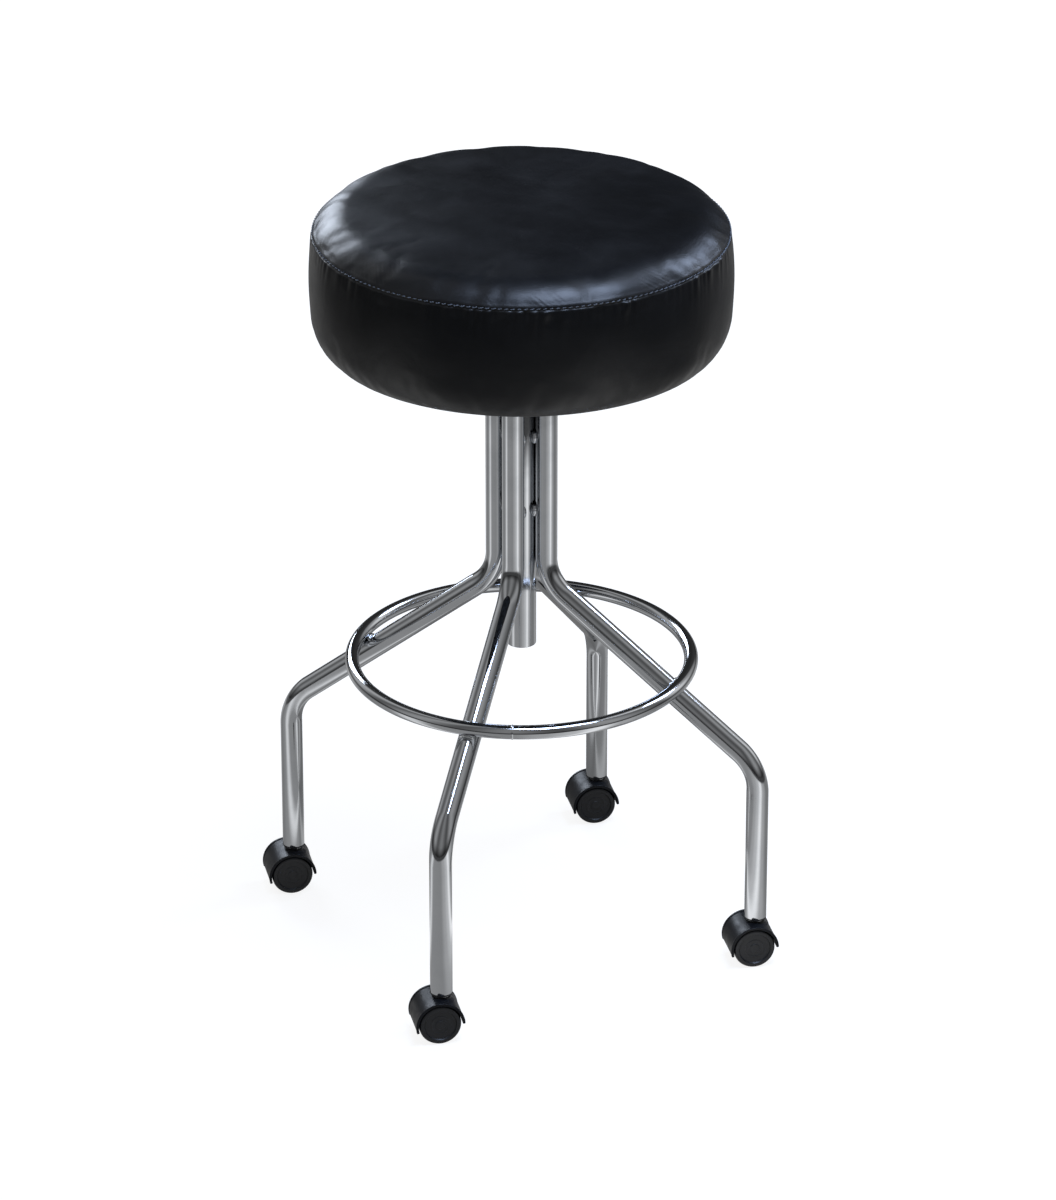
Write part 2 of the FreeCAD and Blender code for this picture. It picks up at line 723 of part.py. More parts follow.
def wheel(name):
    """A wheel turned round Z, from its inner face up to its dished outer face."""
    return turned(name, [
        ("axle_radius + running_clearance", "0"),
        ("wheel_dia / 2 - wheel_edge", "0"),
        ("wheel_dia / 2", "wheel_edge"),
        ("wheel_dia / 2", "wheel_width - wheel_edge"),
        ("wheel_dia / 2 - wheel_edge", "wheel_width"),
        ("wheel_dish_dia / 2 + wheel_dish_depth / 2", "wheel_width"),
        ("wheel_dish_dia / 2", "wheel_width - wheel_dish_depth"),
        ("0", "wheel_width - wheel_dish_depth"),
        ("0", "wheel_width - wheel_dish_depth - wheel_face_wall"),
        ("axle_radius + running_clearance", "wheel_width - wheel_dish_depth - wheel_face_wall"),
    ])


def stem(name):
    return turned(name, [
        ("0", "stem_bottom"),
        ("stem_radius", "stem_bottom"),
        ("stem_radius", "neck_top"),
        ("collar_dia / 2", "neck_top"),
        ("collar_dia / 2", "collar_top"),
        ("stem_radius", "collar_top"),
        ("stem_radius", "grip_ring_height - wire_radius - press_gap"),
        ("stem_radius - grip_ring_seat - press_gap", "grip_ring_height - wire_radius - press_gap"),
        ("stem_radius - grip_ring_seat - press_gap", "grip_ring_height + wire_radius + press_gap"),
        ("stem_radius", "grip_ring_height + wire_radius + press_gap"),
        ("stem_radius", "stem_top"),
        ("0", "stem_top"),
    ])


def caster_socket(name):
    return turned(name, [
        ("stem_radius + running_clearance", "socket_bottom"),
        ("leg_radius", "socket_bottom"),
        ("leg_radius", "leg_bottom"),
        ("leg_bore - running_clearance", "leg_bottom"),
        ("leg_bore - running_clearance", "leg_bottom + socket_length"),
        ("stem_radius + running_clearance", "leg_bottom + socket_length"),
        ("stem_radius + running_clearance", "grip_ring_height + grip_room_half"),
        ("grip_room_radius", "grip_ring_height + grip_room_half"),
        ("grip_room_radius", "grip_ring_height - grip_room_half"),
        ("stem_radius + running_clearance", "grip_ring_height - grip_room_half"),
    ])


def casters():
    heading = FreeCAD.Rotation(Z_AXIS, value("caster_heading"))
    no_turn = FreeCAD.Rotation()
    stem_spot = FreeCAD.Vector()
    ring_spot = FreeCAD.Vector(0, 0, value("grip_ring_height"))

    def on_axle(aside):
        """The spot on the axle so far from the stem's middle."""
        return FreeCAD.Vector(-value("caster_trail"), aside, value("axle_height"))

    sockets = []
    for side, angle in LEGS.items():
        foot = FreeCAD.Rotation(Z_AXIS, angle).multVec(FreeCAD.Vector(value("foot_radius"), 0, 0))
        swivel = FreeCAD.Placement(foot, heading)
        name = f"caster_{side}"
        axle = cylinder(name + "_axle", "axle_radius", "2 * axle_half")
        ring = solid("Torus", name + "_grip_ring", {"Radius1": "grip_ring_radius", "Radius2": "wire_radius"})
        wheel_a, wheel_b = wheel(name + "_wheel_a"), wheel(name + "_wheel_b")
        pieces = {
            "_hood": (hood(side), stem_spot, no_turn),
            "_stem": (stem(name + "_stem"), stem_spot, no_turn),
            "_grip_ring": (ring, ring_spot, no_turn),
            "_axle": (axle, on_axle(value("axle_half")), ALONG_MINUS_Y),
            "_wheel_a": (wheel_a, on_axle(-value("wheel_inner_face")), ALONG_MINUS_Y),
            "_wheel_b": (wheel_b, on_axle(value("wheel_inner_face")), ALONG_PLUS_Y),
        }
        for ending, (piece, spot, turn) in pieces.items():
            for axis in "xyz":
                piece.setExpression("Placement.Base." + axis, None)
            piece.Placement = swivel.multiply(FreeCAD.Placement(spot, turn))
            keep(piece, name + ending)
        socket = caster_socket(f"caster_socket_{side}")
        socket.Placement = FreeCAD.Placement(foot, no_turn)
        sockets.append(socket)
    keep(group("caster_sockets", sockets), "caster_sockets")


for leg_side, leg_angle in LEGS.items():
    leg(leg_side, leg_angle)
hub_tube()
leg_top_plugs()
foot_ring()
hub_welds()
spindle_nut()
spindle()
spindle_guide()
seat_cover()
seat_foam()
seat_base()
seat_fasteners()
casters()
doc.recompute()

for item in doc.Objects:
    if "Invalid" in item.State or "Error" in item.State:
        raise ValueError(f"{item.Label} failed: {item.State}")
for part in parts:
    if part.Shape.isNull() or not part.Shape.isValid():
        raise ValueError(f"{part.Label} has no valid shape")

os.makedirs("parts", exist_ok=True)
for part in parts:
    part.Shape.exportStep(f"parts/{part.Label}.step")
    box = part.Shape.BoundBox
    print(f"{part.Label}: {len(part.Shape.Solids)} solids, {part.Shape.Volume / 1000:.2f} cm3, "
          f"z {box.ZMin:.1f} to {box.ZMax:.1f}")
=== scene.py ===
# %% [markdown]
# # A round clinic stool, dressed for its portrait
#
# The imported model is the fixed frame: its bodies move, and its nodes give each piece's true place and size.
# Everything here is in metres in that same frame, with +Z up and the origin on the floor under the spindle.
# The stool's own sizes are easier to read in millimetres, so they are written that way and multiplied by
# `MM`.

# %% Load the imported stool
import math

import bmesh
import bpy
import numpy as np
from mathutils import Matrix, Vector


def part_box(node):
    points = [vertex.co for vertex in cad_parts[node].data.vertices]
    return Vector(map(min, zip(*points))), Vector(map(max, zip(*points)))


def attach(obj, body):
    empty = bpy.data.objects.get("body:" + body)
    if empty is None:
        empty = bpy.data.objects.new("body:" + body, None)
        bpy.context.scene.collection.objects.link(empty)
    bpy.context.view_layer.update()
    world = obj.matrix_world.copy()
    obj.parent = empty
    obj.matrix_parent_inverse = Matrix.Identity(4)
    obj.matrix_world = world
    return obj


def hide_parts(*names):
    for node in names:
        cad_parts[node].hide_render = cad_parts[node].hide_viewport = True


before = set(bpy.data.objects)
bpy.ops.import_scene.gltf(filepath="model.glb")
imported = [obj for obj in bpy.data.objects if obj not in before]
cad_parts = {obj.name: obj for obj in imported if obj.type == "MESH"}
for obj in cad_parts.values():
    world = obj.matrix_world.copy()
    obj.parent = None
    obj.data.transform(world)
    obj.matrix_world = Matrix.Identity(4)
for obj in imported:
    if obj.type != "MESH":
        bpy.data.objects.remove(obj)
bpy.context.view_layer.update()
MM = 0.001
FULL_TURN = 2 * math.pi

# %% [markdown]
# ## Camera
#
# The photograph was taken from a little above the seat and from some way off, so the stool hardly narrows
# towards the back. A long lens far away gives that flat perspective. The camera stands to the right of the
# front leg, so the right and the front leg both show their full bends.

# %% Put the camera where the photograph was taken
CAMERA_AZIMUTH = math.radians(18.5)
CAMERA_ELEVATION = math.radians(25.25)
CAMERA_DISTANCE = 5.0
IMAGE_HEIGHT = 1200
FOCAL_PIXELS = 5871
SENSOR = 36.0
AIM_HEIGHT = 310 * MM
AIM_ASIDE = 5.5 * MM

view_right = Vector((math.cos(CAMERA_AZIMUTH), math.sin(CAMERA_AZIMUTH), 0))
view_back = Vector((
    math.sin(CAMERA_AZIMUTH) * math.cos(CAMERA_ELEVATION),
    -math.cos(CAMERA_AZIMUTH) * math.cos(CAMERA_ELEVATION),
    math.sin(CAMERA_ELEVATION),
))
aim = Vector((0, 0, AIM_HEIGHT)) + view_right * AIM_ASIDE
camera_data = bpy.data.cameras.new("portrait_camera")
camera_data.sensor_width = SENSOR
camera_data.lens = FOCAL_PIXELS / IMAGE_HEIGHT * SENSOR
camera_data.clip_end = 60
camera = bpy.data.objects.new("portrait_camera", camera_data)
camera.location = aim + view_back * CAMERA_DISTANCE
camera.rotation_mode = "QUATERNION"
camera.rotation_quaternion = (-view_back).to_track_quat("-Z", "Y")
bpy.context.scene.collection.objects.link(camera)
bpy.context.scene.camera = camera
bpy.context.scene.view_settings.view_transform = "Standard"
print("lens:", round(camera_data.lens, 1), "mm")

# %% [markdown]
# ## Small tools for materials
#
# A finish is a material with one Principled shader. Values that are the same all over go straight onto the
# shader's sockets, and patterns reach it through nodes. Colours are written as sRGB hex, as a paint chart
# gives them, and one function turns them into the linear values that Blender shades with.

# %% Tools for finishes
def linear(hex_code):
    channels = [int(hex_code[start:start + 2], 16) / 255 for start in (1, 3, 5)]
    return tuple(c / 12.92 if c <= 0.04045 else ((c + 0.055) / 1.055) ** 2.4 for c in channels) + (1.0,)


def per_metre(size_mm):
    """A texture scale that repeats a pattern once in so many millimetres."""
    return 1000 / size_mm


def per_wave(size_mm):
    """The same for a wave texture, which has about three bands to a unit."""
    return per_metre(size_mm) * FULL_TURN / 20


def add(tree, kind, sockets=None, **settings):
    """Add a node. Settings are its properties; sockets are its inputs' values, or outputs to link to them."""
    made = tree.nodes.new("ShaderNode" + kind)
    for name, value in settings.items():
        setattr(made, name, value)
    for name, value in (sockets or {}).items():
        if isinstance(value, bpy.types.NodeSocket):
            tree.links.new(value, made.inputs[name])
        else:
            made.inputs[name].default_value = value
    return made


def new_finish(name, constants):
    """A material, its node tree, its shader, and the place on the piece in metres."""
    material = bpy.data.materials.new(name)
    material.use_nodes = True
    tree = material.node_tree
    shader = tree.nodes["Principled BSDF"]
    for socket, value in constants.items():
        shader.inputs[socket].default_value = value
    place = add(tree, "TexCoord").outputs["Object"]
    print("finish:", name)
    return material, tree, shader, place


def set_shader(tree, shader, **outputs):
    for name, output in outputs.items():
        tree.links.new(output, shader.inputs[name.replace("_", " ")])


def patchy(tree, shader, place, size_mm, colours, gloss=None, span=(0, 1), **noise):
    """Soft patches of one size that blend two colours and, over a span of the pattern, two roughnesses."""
    pattern = add(tree, "TexNoise", {"Vector": place, "Scale": per_metre(size_mm), **noise}).outputs["Fac"]
    tint = add(tree, "Mix", {0: pattern, 6: linear(colours[0]), 7: linear(colours[1])}, data_type="RGBA")
    set_shader(tree, shader, Base_Color=tint.outputs[2])
    if gloss:
        rub = add(tree, "MapRange", {"Value": pattern, "From Min": span[0], "From Max": span[1],
                                     "To Min": gloss[0], "To Max": gloss[1]})
        set_shader(tree, shader, Roughness=rub.outputs["Result"])
    return pattern


# %% [markdown]
# ## Chrome-plated steel
#
# The tubes are polished and plated with nickel and chrome. Plating gives a cool mirror with almost no grain,
# and what the eye reads as metal is a very slight waviness from polishing, with faint smudges from hands and
# cleaning. Waviness is a weak bump some millimetres long, and the smudges raise the roughness in soft
# patches.

# %% Chrome-plated steel
chrome, tree, shader, place = new_finish("chrome_plated_steel", {"Metallic": 1.0})
patchy(tree, shader, place, 28, ("#C9CBCE", "#B7BABE"), (0.05, 0.16), (0.42, 0.75),
       Detail=5.0, Roughness=0.62)
waves = add(tree, "TexNoise", {"Vector": place, "Scale": per_metre(9), "Detail": 2.0})
polish = add(tree, "Bump", {"Height": waves.outputs["Fac"], "Strength": 0.05, "Distance": 0.3 * MM})
set_shader(tree, shader, Normal=polish.outputs["Normal"])

# %% [markdown]
# ## Black PVC vinyl
#
# The seat is covered in coated cloth: soft PVC, embossed with a leather grain and rubbed to a half gloss. The
# eye gets a deep black with broad soft highlights, a fine pebble in them, and creases that run away from the
# seam. The grain is a Voronoi pattern, because embossed pebbles are cells with creases between them. Real
# pebbles are about 0.6 mm, too fine for this picture, so they are drawn twice as large.

# %% Black PVC vinyl
vinyl, tree, shader, place = new_finish("black_pvc_vinyl", {"Specular IOR Level": 0.36, "IOR": 1.5})
wander = add(tree, "TexNoise", {"Vector": place, "Scale": per_metre(3), "Detail": 2.0})
drift = add(tree, "VectorMath", {0: wander.outputs["Color"], "Scale": 0.8 * MM}, operation="SCALE")
moved = add(tree, "VectorMath", {0: place, 1: drift.outputs["Vector"]}, operation="ADD")
pebbles = add(tree, "TexVoronoi", {"Vector": moved.outputs["Vector"], "Scale": per_metre(1.3)},
              feature="DISTANCE_TO_EDGE")
pebble_top = add(tree, "MapRange", {"Value": pebbles.outputs["Distance"], "From Max": 0.35},
                 interpolation_type="SMOOTHSTEP")
grain = add(tree, "Bump", {"Height": pebble_top.outputs["Result"], "Strength": 0.16, "Distance": 0.12 * MM})
folds = add(tree, "TexNoise", {"Vector": place, "Scale": per_metre(34), "Detail": 4.0, "Roughness": 0.55,
                               "Distortion": 1.2})
soft_folds = add(tree, "Bump", {"Height": folds.outputs["Fac"], "Strength": 0.10, "Distance": 2.5 * MM,
                                "Normal": grain.outputs["Normal"]})
patchy(tree, shader, place, 70, ("#050607", "#0D0F13"), (0.28, 0.42), (0.3, 0.7), Detail=6.0, Roughness=0.65)
set_shader(tree, shader, Normal=soft_folds.outputs["Normal"])

# %% [markdown]
# ## Moulded nylon, thread, steel, paint, cloth and plywood
#
# The smaller finishes follow the same plan. Nylon comes out of its mould with a faint matt texture and takes
# scuffs. Sewing thread is twisted, so it has fine slanted bands, and the light grey in its bands is a painted
# highlight on black thread. Zinc plating is greyer and softer than chrome. Powder paint has an orange-peel
# skin. The dust cover is spun-bonded cloth with pressed dimples. Plywood shows its grain.

# %% Moulded nylon of the casters
nylon, tree, shader, place = new_finish("moulded_black_nylon", {"IOR": 1.53, "Specular IOR Level": 0.2})
texture = add(tree, "TexNoise", {"Vector": place, "Scale": per_metre(0.9), "Detail": 2.0})
skin = add(tree, "Bump", {"Height": texture.outputs["Fac"], "Strength": 0.12, "Distance": 0.08 * MM})
patchy(tree, shader, place, 11, ("#07090D", "#12151B"), (0.30, 0.46), (0.35, 0.7), Detail=6.0, Roughness=0.7)
set_shader(tree, shader, Normal=skin.outputs["Normal"])

# %% Harder, duller nylon of the wheels, with dust worked into the tread
wheel_nylon, tree, shader, place = new_finish("wheel_nylon", {"IOR": 1.53})
patchy(tree, shader, place, 5, ("#0C0D10", "#1C1E22"), (0.34, 0.52), (0.3, 0.7), Detail=6.0, Roughness=0.72)
pores = add(tree, "TexNoise", {"Vector": place, "Scale": per_metre(0.8), "Detail": 1.0})
rough_skin = add(tree, "Bump", {"Height": pores.outputs["Fac"], "Strength": 0.18, "Distance": 0.08 * MM})
set_shader(tree, shader, Normal=rough_skin.outputs["Normal"])

# %% Black sewing thread
thread, tree, shader, place = new_finish("black_polyester_thread", {"Roughness": 0.5})
twist = add(tree, "TexWave", {"Vector": place, "Scale": per_wave(1.2), "Distortion": 1.5},
            bands_direction="DIAGONAL")
ply = add(tree, "Bump", {"Height": twist.outputs["Fac"], "Strength": 0.4, "Distance": 0.15 * MM})
# The bands' colour runs from dark grey to a light grey that is a painted highlight; the thread itself is
# black.
painted_strand_sheen = add(tree, "Mix", {0: twist.outputs["Fac"], 6: linear("#2C3036"), 7: linear("#6A707A")},
             data_type="RGBA")
set_shader(tree, shader, Base_Color=painted_strand_sheen.outputs[2], Normal=ply.outputs["Normal"])

# %% Zinc-plated steel of the screw and the fasteners
zinc, tree, shader, place = new_finish("zinc_plated_steel", {"Metallic": 1.0})
patchy(tree, shader, place, 4, ("#A9ACB0", "#C6C8C9"), (0.22, 0.42), (0.3, 0.7), Detail=5.0, Roughness=0.7)

# %% Black powder paint of the seat plate
powder, tree, shader, place = new_finish("black_powder_coated_steel", {"IOR": 1.5})
peel = patchy(tree, shader, place, 2.2, ("#101114", "#1B1C20"), (0.36, 0.5), Detail=2.0)
peel_bump = add(tree, "Bump", {"Height": peel, "Strength": 0.25, "Distance": 0.1 * MM})
set_shader(tree, shader, Normal=peel_bump.outputs["Normal"])

# %% Black moulded polypropylene of plugs and sockets
plastic, tree, shader, place = new_finish("moulded_black_polypropylene", {"IOR": 1.49})
patchy(tree, shader, place, 6, ("#0E0F12", "#1D1F24"), (0.4, 0.6), Detail=5.0)

# %% Natural nylon of the guide sleeve
guide_nylon, tree, shader, place = new_finish("natural_nylon", {"IOR": 1.53, "Subsurface Weight": 0.1})
patchy(tree, shader, place, 5, ("#E9E5D8", "#CFC9B8"), (0.3, 0.5), Detail=5.0)

# %% Spun-bonded cloth of the dust cover
felt, tree, shader, place = new_finish("spun_bonded_polypropylene", {"Roughness": 0.95, "Sheen Weight": 0.3})
dimples = add(tree, "TexVoronoi", {"Vector": place, "Scale": per_metre(2.4), "Randomness": 0.15})
patchy(tree, shader, place, 1.2, ("#0D0D0F", "#26272A"), Detail=5.0, Roughness=0.8)
pressed = add(tree, "Bump", {"Height": dimples.outputs["Distance"], "Strength": 0.5, "Distance": 0.25 * MM})
set_shader(tree, shader, Normal=pressed.outputs["Normal"])

# %% Birch plywood of the seat board
plywood, tree, shader, place = new_finish("birch_plywood", {"Roughness": 0.6})
stretched = add(tree, "Mapping", {"Vector": place, "Scale": (per_metre(40), per_metre(4), per_metre(4))})
figure = add(tree, "TexNoise", {"Vector": stretched.outputs["Vector"], "Scale": 1.0, "Detail": 6.0,
                                "Distortion": 0.6})
birch = add(tree, "Mix", {0: figure.outputs["Fac"], 6: linear("#D9B98A"), 7: linear("#A97F4F")},
            data_type="RGBA")
set_shader(tree, shader, Base_Color=birch.outputs[2])

# %% [markdown]
# ## Small tools for shapes
#
# Most of the stool is either turned or swept, so two tools make nearly all of it: `lathe` turns an outline
# round Z, and `sweep` carries a round section along a path. `soften` rounds an outline's corners, because no
# real edge is sharp and it is the rounded edge that catches the light.

# %% Round an outline's corners, and turn it
def soften(points, reach, steps=4, closed=False):
    """Round an outline's corners. Each curve starts this far before its corner."""
    points = [np.array(p, float) for p in points]
    count = len(points)
    out = []
    for i, corner in enumerate(points):
        if not closed and i in (0, count - 1):
            out.append(corner)
            continue
        before, after = points[i - 1] - corner, points[(i + 1) % count] - corner
        start = corner + before * min(0.45, reach / np.linalg.norm(before))
        stop = corner + after * min(0.45, reach / np.linalg.norm(after))
        for t in np.linspace(0, 1, steps + 1):
            out.append((1 - t) ** 2 * start + 2 * t * (1 - t) * corner + t ** 2 * stop)
    return out


def lathe(outline, segments=96, closed=False):
    """Turn an outline of (radius, height) round Z. A point on the axis closes the surface."""
    turn = np.linspace(0, FULL_TURN, segments, endpoint=False)
    verts, rings, faces = [], [], []
    for radius, height in outline:
        start = len(verts)
        if radius < 1e-7:
            verts.append((0.0, 0.0, height))
            rings.append([start] * segments)
        else:
            verts += [(radius * math.cos(a), radius * math.sin(a), height) for a in turn]
            rings.append(list(range(start, start + segments)))
    pairs = list(zip(rings, rings[1:])) + ([(rings[-1], rings[0])] if closed else [])
    for low, high in pairs:
        for i in range(segments):
            j = (i + 1) % segments
            corners = list(dict.fromkeys((low[i], low[j], high[j], high[i])))
            if len(corners) > 2:
                faces.append(corners)
    return np.array(verts), faces


# %% Carry a round section along a path
def closed_rings(count, size):
    """Faces that join a row of rings, each of so many points, and close the first and the last ring."""
    faces = [[i * size + k, i * size + (k + 1) % size, (i + 1) * size + (k + 1) % size, (i + 1) * size + k]
             for i in range(count - 1) for k in range(size)]
    return faces + [list(range(size)), list(range((count - 1) * size, count * size))]


def sweep(path, radius, side, sides=24, flatten=None):
    """Carry a circle along a path. side points across the whole path, and flatten squeezes the circle."""
    path = np.array(path, float)
    count = len(path)
    radius = np.broadcast_to(radius, count)
    flatten = np.zeros(count) if flatten is None else flatten
    tangent = np.gradient(path, axis=0)
    tangent /= np.linalg.norm(tangent, axis=1)[:, None]
    across = np.array(side, float) - tangent * (tangent @ np.array(side, float))[:, None]
    across /= np.linalg.norm(across, axis=1)[:, None]
    up = np.cross(tangent, across)
    turn = np.linspace(0, FULL_TURN, sides, endpoint=False)
    ring = (across[:, None, :] * np.cos(turn)[None, :, None] * (1 + flatten / 2)[:, None, None]
            + up[:, None, :] * np.sin(turn)[None, :, None] * (1 - flatten)[:, None, None])
    verts = (path[:, None, :] + ring * radius[:, None, None]).reshape(-1, 3)
    return verts, closed_rings(count, sides)


# %% Place and join shapes
def moved_by(shape, matrix):
    verts, faces = shape
    return verts @ np.array(matrix.to_3x3()).T + np.array(matrix.translation), faces


def turned_to(degrees):
    return Matrix.Rotation(math.radians(degrees), 4, "Z")


def joined(shapes):
    verts, faces, start = [], [], 0
    for some_verts, some_faces in shapes:
        verts.append(some_verts)
        faces += [[start + i for i in face] for face in some_faces]
        start += len(some_verts)
    return np.concatenate(verts), faces


# %% Make a piece, or finish a solid as it is
def piece(name, shape, body, finish, slot, stands_for=(), crease=38, at=None):
    """Make a piece, let it ride on its body, and hide the solids that it stands for."""
    verts, faces = shape
    mesh = bpy.data.meshes.new(name)
    mesh.from_pydata(np.asarray(verts).tolist(), [], faces)
    shaped = bmesh.new()
    shaped.from_mesh(mesh)
    bmesh.ops.recalc_face_normals(shaped, faces=shaped.faces)
    shaped.to_mesh(mesh)
    shaped.free()
    mesh.shade_smooth()
    mesh.set_sharp_from_angle(angle=math.radians(crease))
    mesh.materials.append(finish)
    made = bpy.data.objects.new(name, mesh)
    bpy.context.scene.collection.objects.link(made)
    if at is not None:
        made.matrix_world = at
    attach(made, body)
    if stands_for:
        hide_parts(*stands_for)
    return made


def dress(finish, *nodes):
    """Give a CAD solid, whose shape is right as it is, its finish."""
    for node in nodes:
        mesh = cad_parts[node].data
        mesh.materials.clear()
        mesh.materials.append(finish)


# %% [markdown]
# ## Legs
#
# Each leg is one tube, bent twice: it leaves the hub, slopes out and turns down to its caster. A bevelled
# curve could make it, but a sweep lets the section change along the way. Bending flattens a tube a little,
# and on chrome that flattening is plain to see in the reflections, so the section is squeezed through each
# bend.

# %% Bend the four legs
LEG_RADIUS = 9.5 * MM
LEG_OFFSET = 22.05 * MM
LEG_TOP = 499 * MM
LEG_FOOT = 42.2 * MM
FOOT_RADIUS = 212 * MM
UPPER_BEND = 333.5 * MM
LOWER_BEND = 184 * MM
BEND_RADIUS = 45 * MM
BEND_SQUEEZE = 0.07
CHROMED = ("frame", chrome, "chrome_plated_steel")
LEG_ANGLES = {"right": 0, "back": 90, "left": 180, "front": 270}


def bent(corners, radius, steps=20):
    """Points along straight runs joined by arcs, and how far into a bend each point is, from 0 to 1."""
    corners = [np.array(c, float) for c in corners]
    points, depth = [corners[0]], [0.0]
    for before, corner, after in zip(corners, corners[1:], corners[2:]):
        u = (before - corner) / np.linalg.norm(before - corner)
        v = (after - corner) / np.linalg.norm(after - corner)
        half = math.acos(np.dot(u, v)) / 2
        centre = corner + (u + v) / np.linalg.norm(u + v) * radius / math.sin(half)
        start = corner + u * radius / math.tan(half)
        inward = start - centre
        along = -u * radius
        for t in np.linspace(0, 1, steps + 1):
            swing = t * (math.pi - 2 * half)
            points.append(centre + inward * math.cos(swing) + along * math.sin(swing))
            depth.append(math.sin(math.pi * t))
    return np.array(points + [corners[-1]]), np.array(depth + [0.0])


leg_line, leg_bend = bent([
    (LEG_OFFSET, 0, LEG_TOP), (LEG_OFFSET, 0, UPPER_BEND),
    (FOOT_RADIUS, 0, LOWER_BEND), (FOOT_RADIUS, 0, LEG_FOOT),
], BEND_RADIUS)
leg_tube = sweep(leg_line, LEG_RADIUS, (0, 1, 0), sides=48, flatten=leg_bend * BEND_SQUEEZE)
for side, angle in LEG_ANGLES.items():
    turned = moved_by(leg_tube, turned_to(angle))
    piece(f"leg_tube_{side}", turned, *CHROMED, [f"leg_{side}"])
print("leg points:", len(leg_line))

# %% [markdown]
# ## Hub tube and foot ring
#
# The hub is a plain length of tube with its sawn edges rounded by polishing. The ring is a round bar bent
# into a hoop and closed with a butt weld, which stays as a small swelling after grinding. The ring is a lathe
# of a circle, and the swelling is a short sleeve round the bar.

# %% Hub tube, foot ring and the ring's butt weld
HUB_RADIUS = 12.5 * MM
HUB_WALL = 1.5 * MM
HUB_BOTTOM = 270.5 * MM
HUB_TOP = 505 * MM
RING_RADIUS = 145 * MM
RING_BAR = 6 * MM
ring_low, ring_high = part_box("foot_ring")
RING_HEIGHT = (ring_low.z + ring_high.z) / 2
BUTT_WELD_ANGLE = -74.5

hub_outline = soften([
    (HUB_RADIUS - HUB_WALL, HUB_TOP), (HUB_RADIUS, HUB_TOP), (HUB_RADIUS, HUB_BOTTOM),
    (HUB_RADIUS - HUB_WALL, HUB_BOTTOM),
], 0.6 * MM, closed=True)
piece("hub_tube_polished", lathe(hub_outline, closed=True), *CHROMED, ["hub_tube"])

bar = [(RING_RADIUS + RING_BAR * math.cos(a), RING_HEIGHT + RING_BAR * math.sin(a))
       for a in np.linspace(0, FULL_TURN, 32, endpoint=False)]
piece("foot_ring_bar", lathe(bar, 320, closed=True), *CHROMED, ["foot_ring"])

swelling = [(RING_BAR - 0.2 * MM + 0.55 * MM * math.exp(-(h / 0.9) ** 2), h * MM)
            for h in np.linspace(-2, 2, 17)]
on_ring = turned_to(BUTT_WELD_ANGLE) @ Matrix.Translation((RING_RADIUS, 0, RING_HEIGHT))
butt = moved_by(lathe(swelling, 40), on_ring @ Matrix.Rotation(math.radians(90), 4, "X"))
piece("foot_ring_butt_weld", butt, *CHROMED)
print("ring height:", round(RING_HEIGHT / MM, 1), "mm")

# %% [markdown]
# ## Welds
#
# The ring is welded to each leg with a bead on both sides, and the legs are tacked to the hub in the grooves
# between the tubes. A bead is a row of overlapping puddles, so it is a sweep whose radius ripples and runs
# out at the ends. It was plated with the tubes, so it shines as they do.

# %% Ring beads and hub tacks
PUDDLE = 2.2 * MM
BEAD_RADIUS, BEAD_RISE, BEAD_SPREAD = 2.1 * MM, 0.6 * MM, 0.72
TACK_RADIUS, TACK_HALF = 2.7 * MM, 5.5 * MM
TACK_OUT, TACK_ASIDE = 13.5 * MM, 6.2 * MM
TACK_HEIGHTS = (398.5 * MM, 465.5 * MM)
slope = np.array((FOOT_RADIUS - LEG_OFFSET, 0, LOWER_BEND - UPPER_BEND))
slope /= np.linalg.norm(slope)
lift = np.array((-slope[2], 0, slope[0]))
touch = np.array((RING_RADIUS, 0, RING_HEIGHT)) - lift * RING_BAR
leg_axis_point = touch - lift * LEG_RADIUS


def rippled(length, thick, count):
    """Radii along a bead: puddles in a row, fading at both ends."""
    t = np.linspace(0, 1, count)
    fade = np.clip(np.sin(math.pi * t), 0, 1) ** 0.45
    return thick * fade * (0.93 + 0.07 * np.abs(np.sin(math.pi * t * length / PUDDLE))) + 0.02 * MM


def ring_bead(way):
    """A bead over the top of a leg, along one side of the ring."""
    line = []
    for a in np.linspace(-BEAD_SPREAD, BEAD_SPREAD, 41):
        height = LEG_RADIUS * math.cos(a)
        aside = LEG_RADIUS * math.sin(a)
        reach = RING_BAR * 0.72 + 0.5 * LEG_RADIUS * (1 - math.cos(a))
        over_leg = leg_axis_point + lift * (height + BEAD_RISE) + np.array((0, aside, 0))
        line.append(over_leg + slope * way * reach)
    return sweep(line, rippled(2 * BEAD_SPREAD * LEG_RADIUS, BEAD_RADIUS, len(line)), slope, sides=14)


def hub_tack(height, hand):
    """A short upright bead in the groove between a leg and the hub."""
    rise = np.linspace(-TACK_HALF, TACK_HALF, 31)
    line = np.stack([TACK_OUT + 0 * rise, hand * TACK_ASIDE + 0 * rise, height + rise], 1)
    return sweep(line, rippled(2 * TACK_HALF, TACK_RADIUS, len(line)), (1, 0, 0), sides=16)


ring_beads, hub_tacks = [], []
for angle in LEG_ANGLES.values():
    turn = turned_to(angle)
    ring_beads += [moved_by(ring_bead(way), turn) for way in (1, -1)]
    hub_tacks += [moved_by(hub_tack(height, hand), turn) for height in TACK_HEIGHTS for hand in (1, -1)]
piece("ring_weld_beads", joined(ring_beads), *CHROMED, ["ring_welds"], crease=70)
piece("hub_weld_tacks", joined(hub_tacks), *CHROMED, ["hub_welds"], crease=70)
print("beads:", len(ring_beads), "tacks:", len(hub_tacks))

# %% [markdown]
# ## Plugs and sockets in the tube ends
#
# Black plastic closes the tubes: a domed plug on each leg's top, and a flanged socket in each foot that the
# caster's stem turns in. Both are turned shapes with moulded, rounded edges.

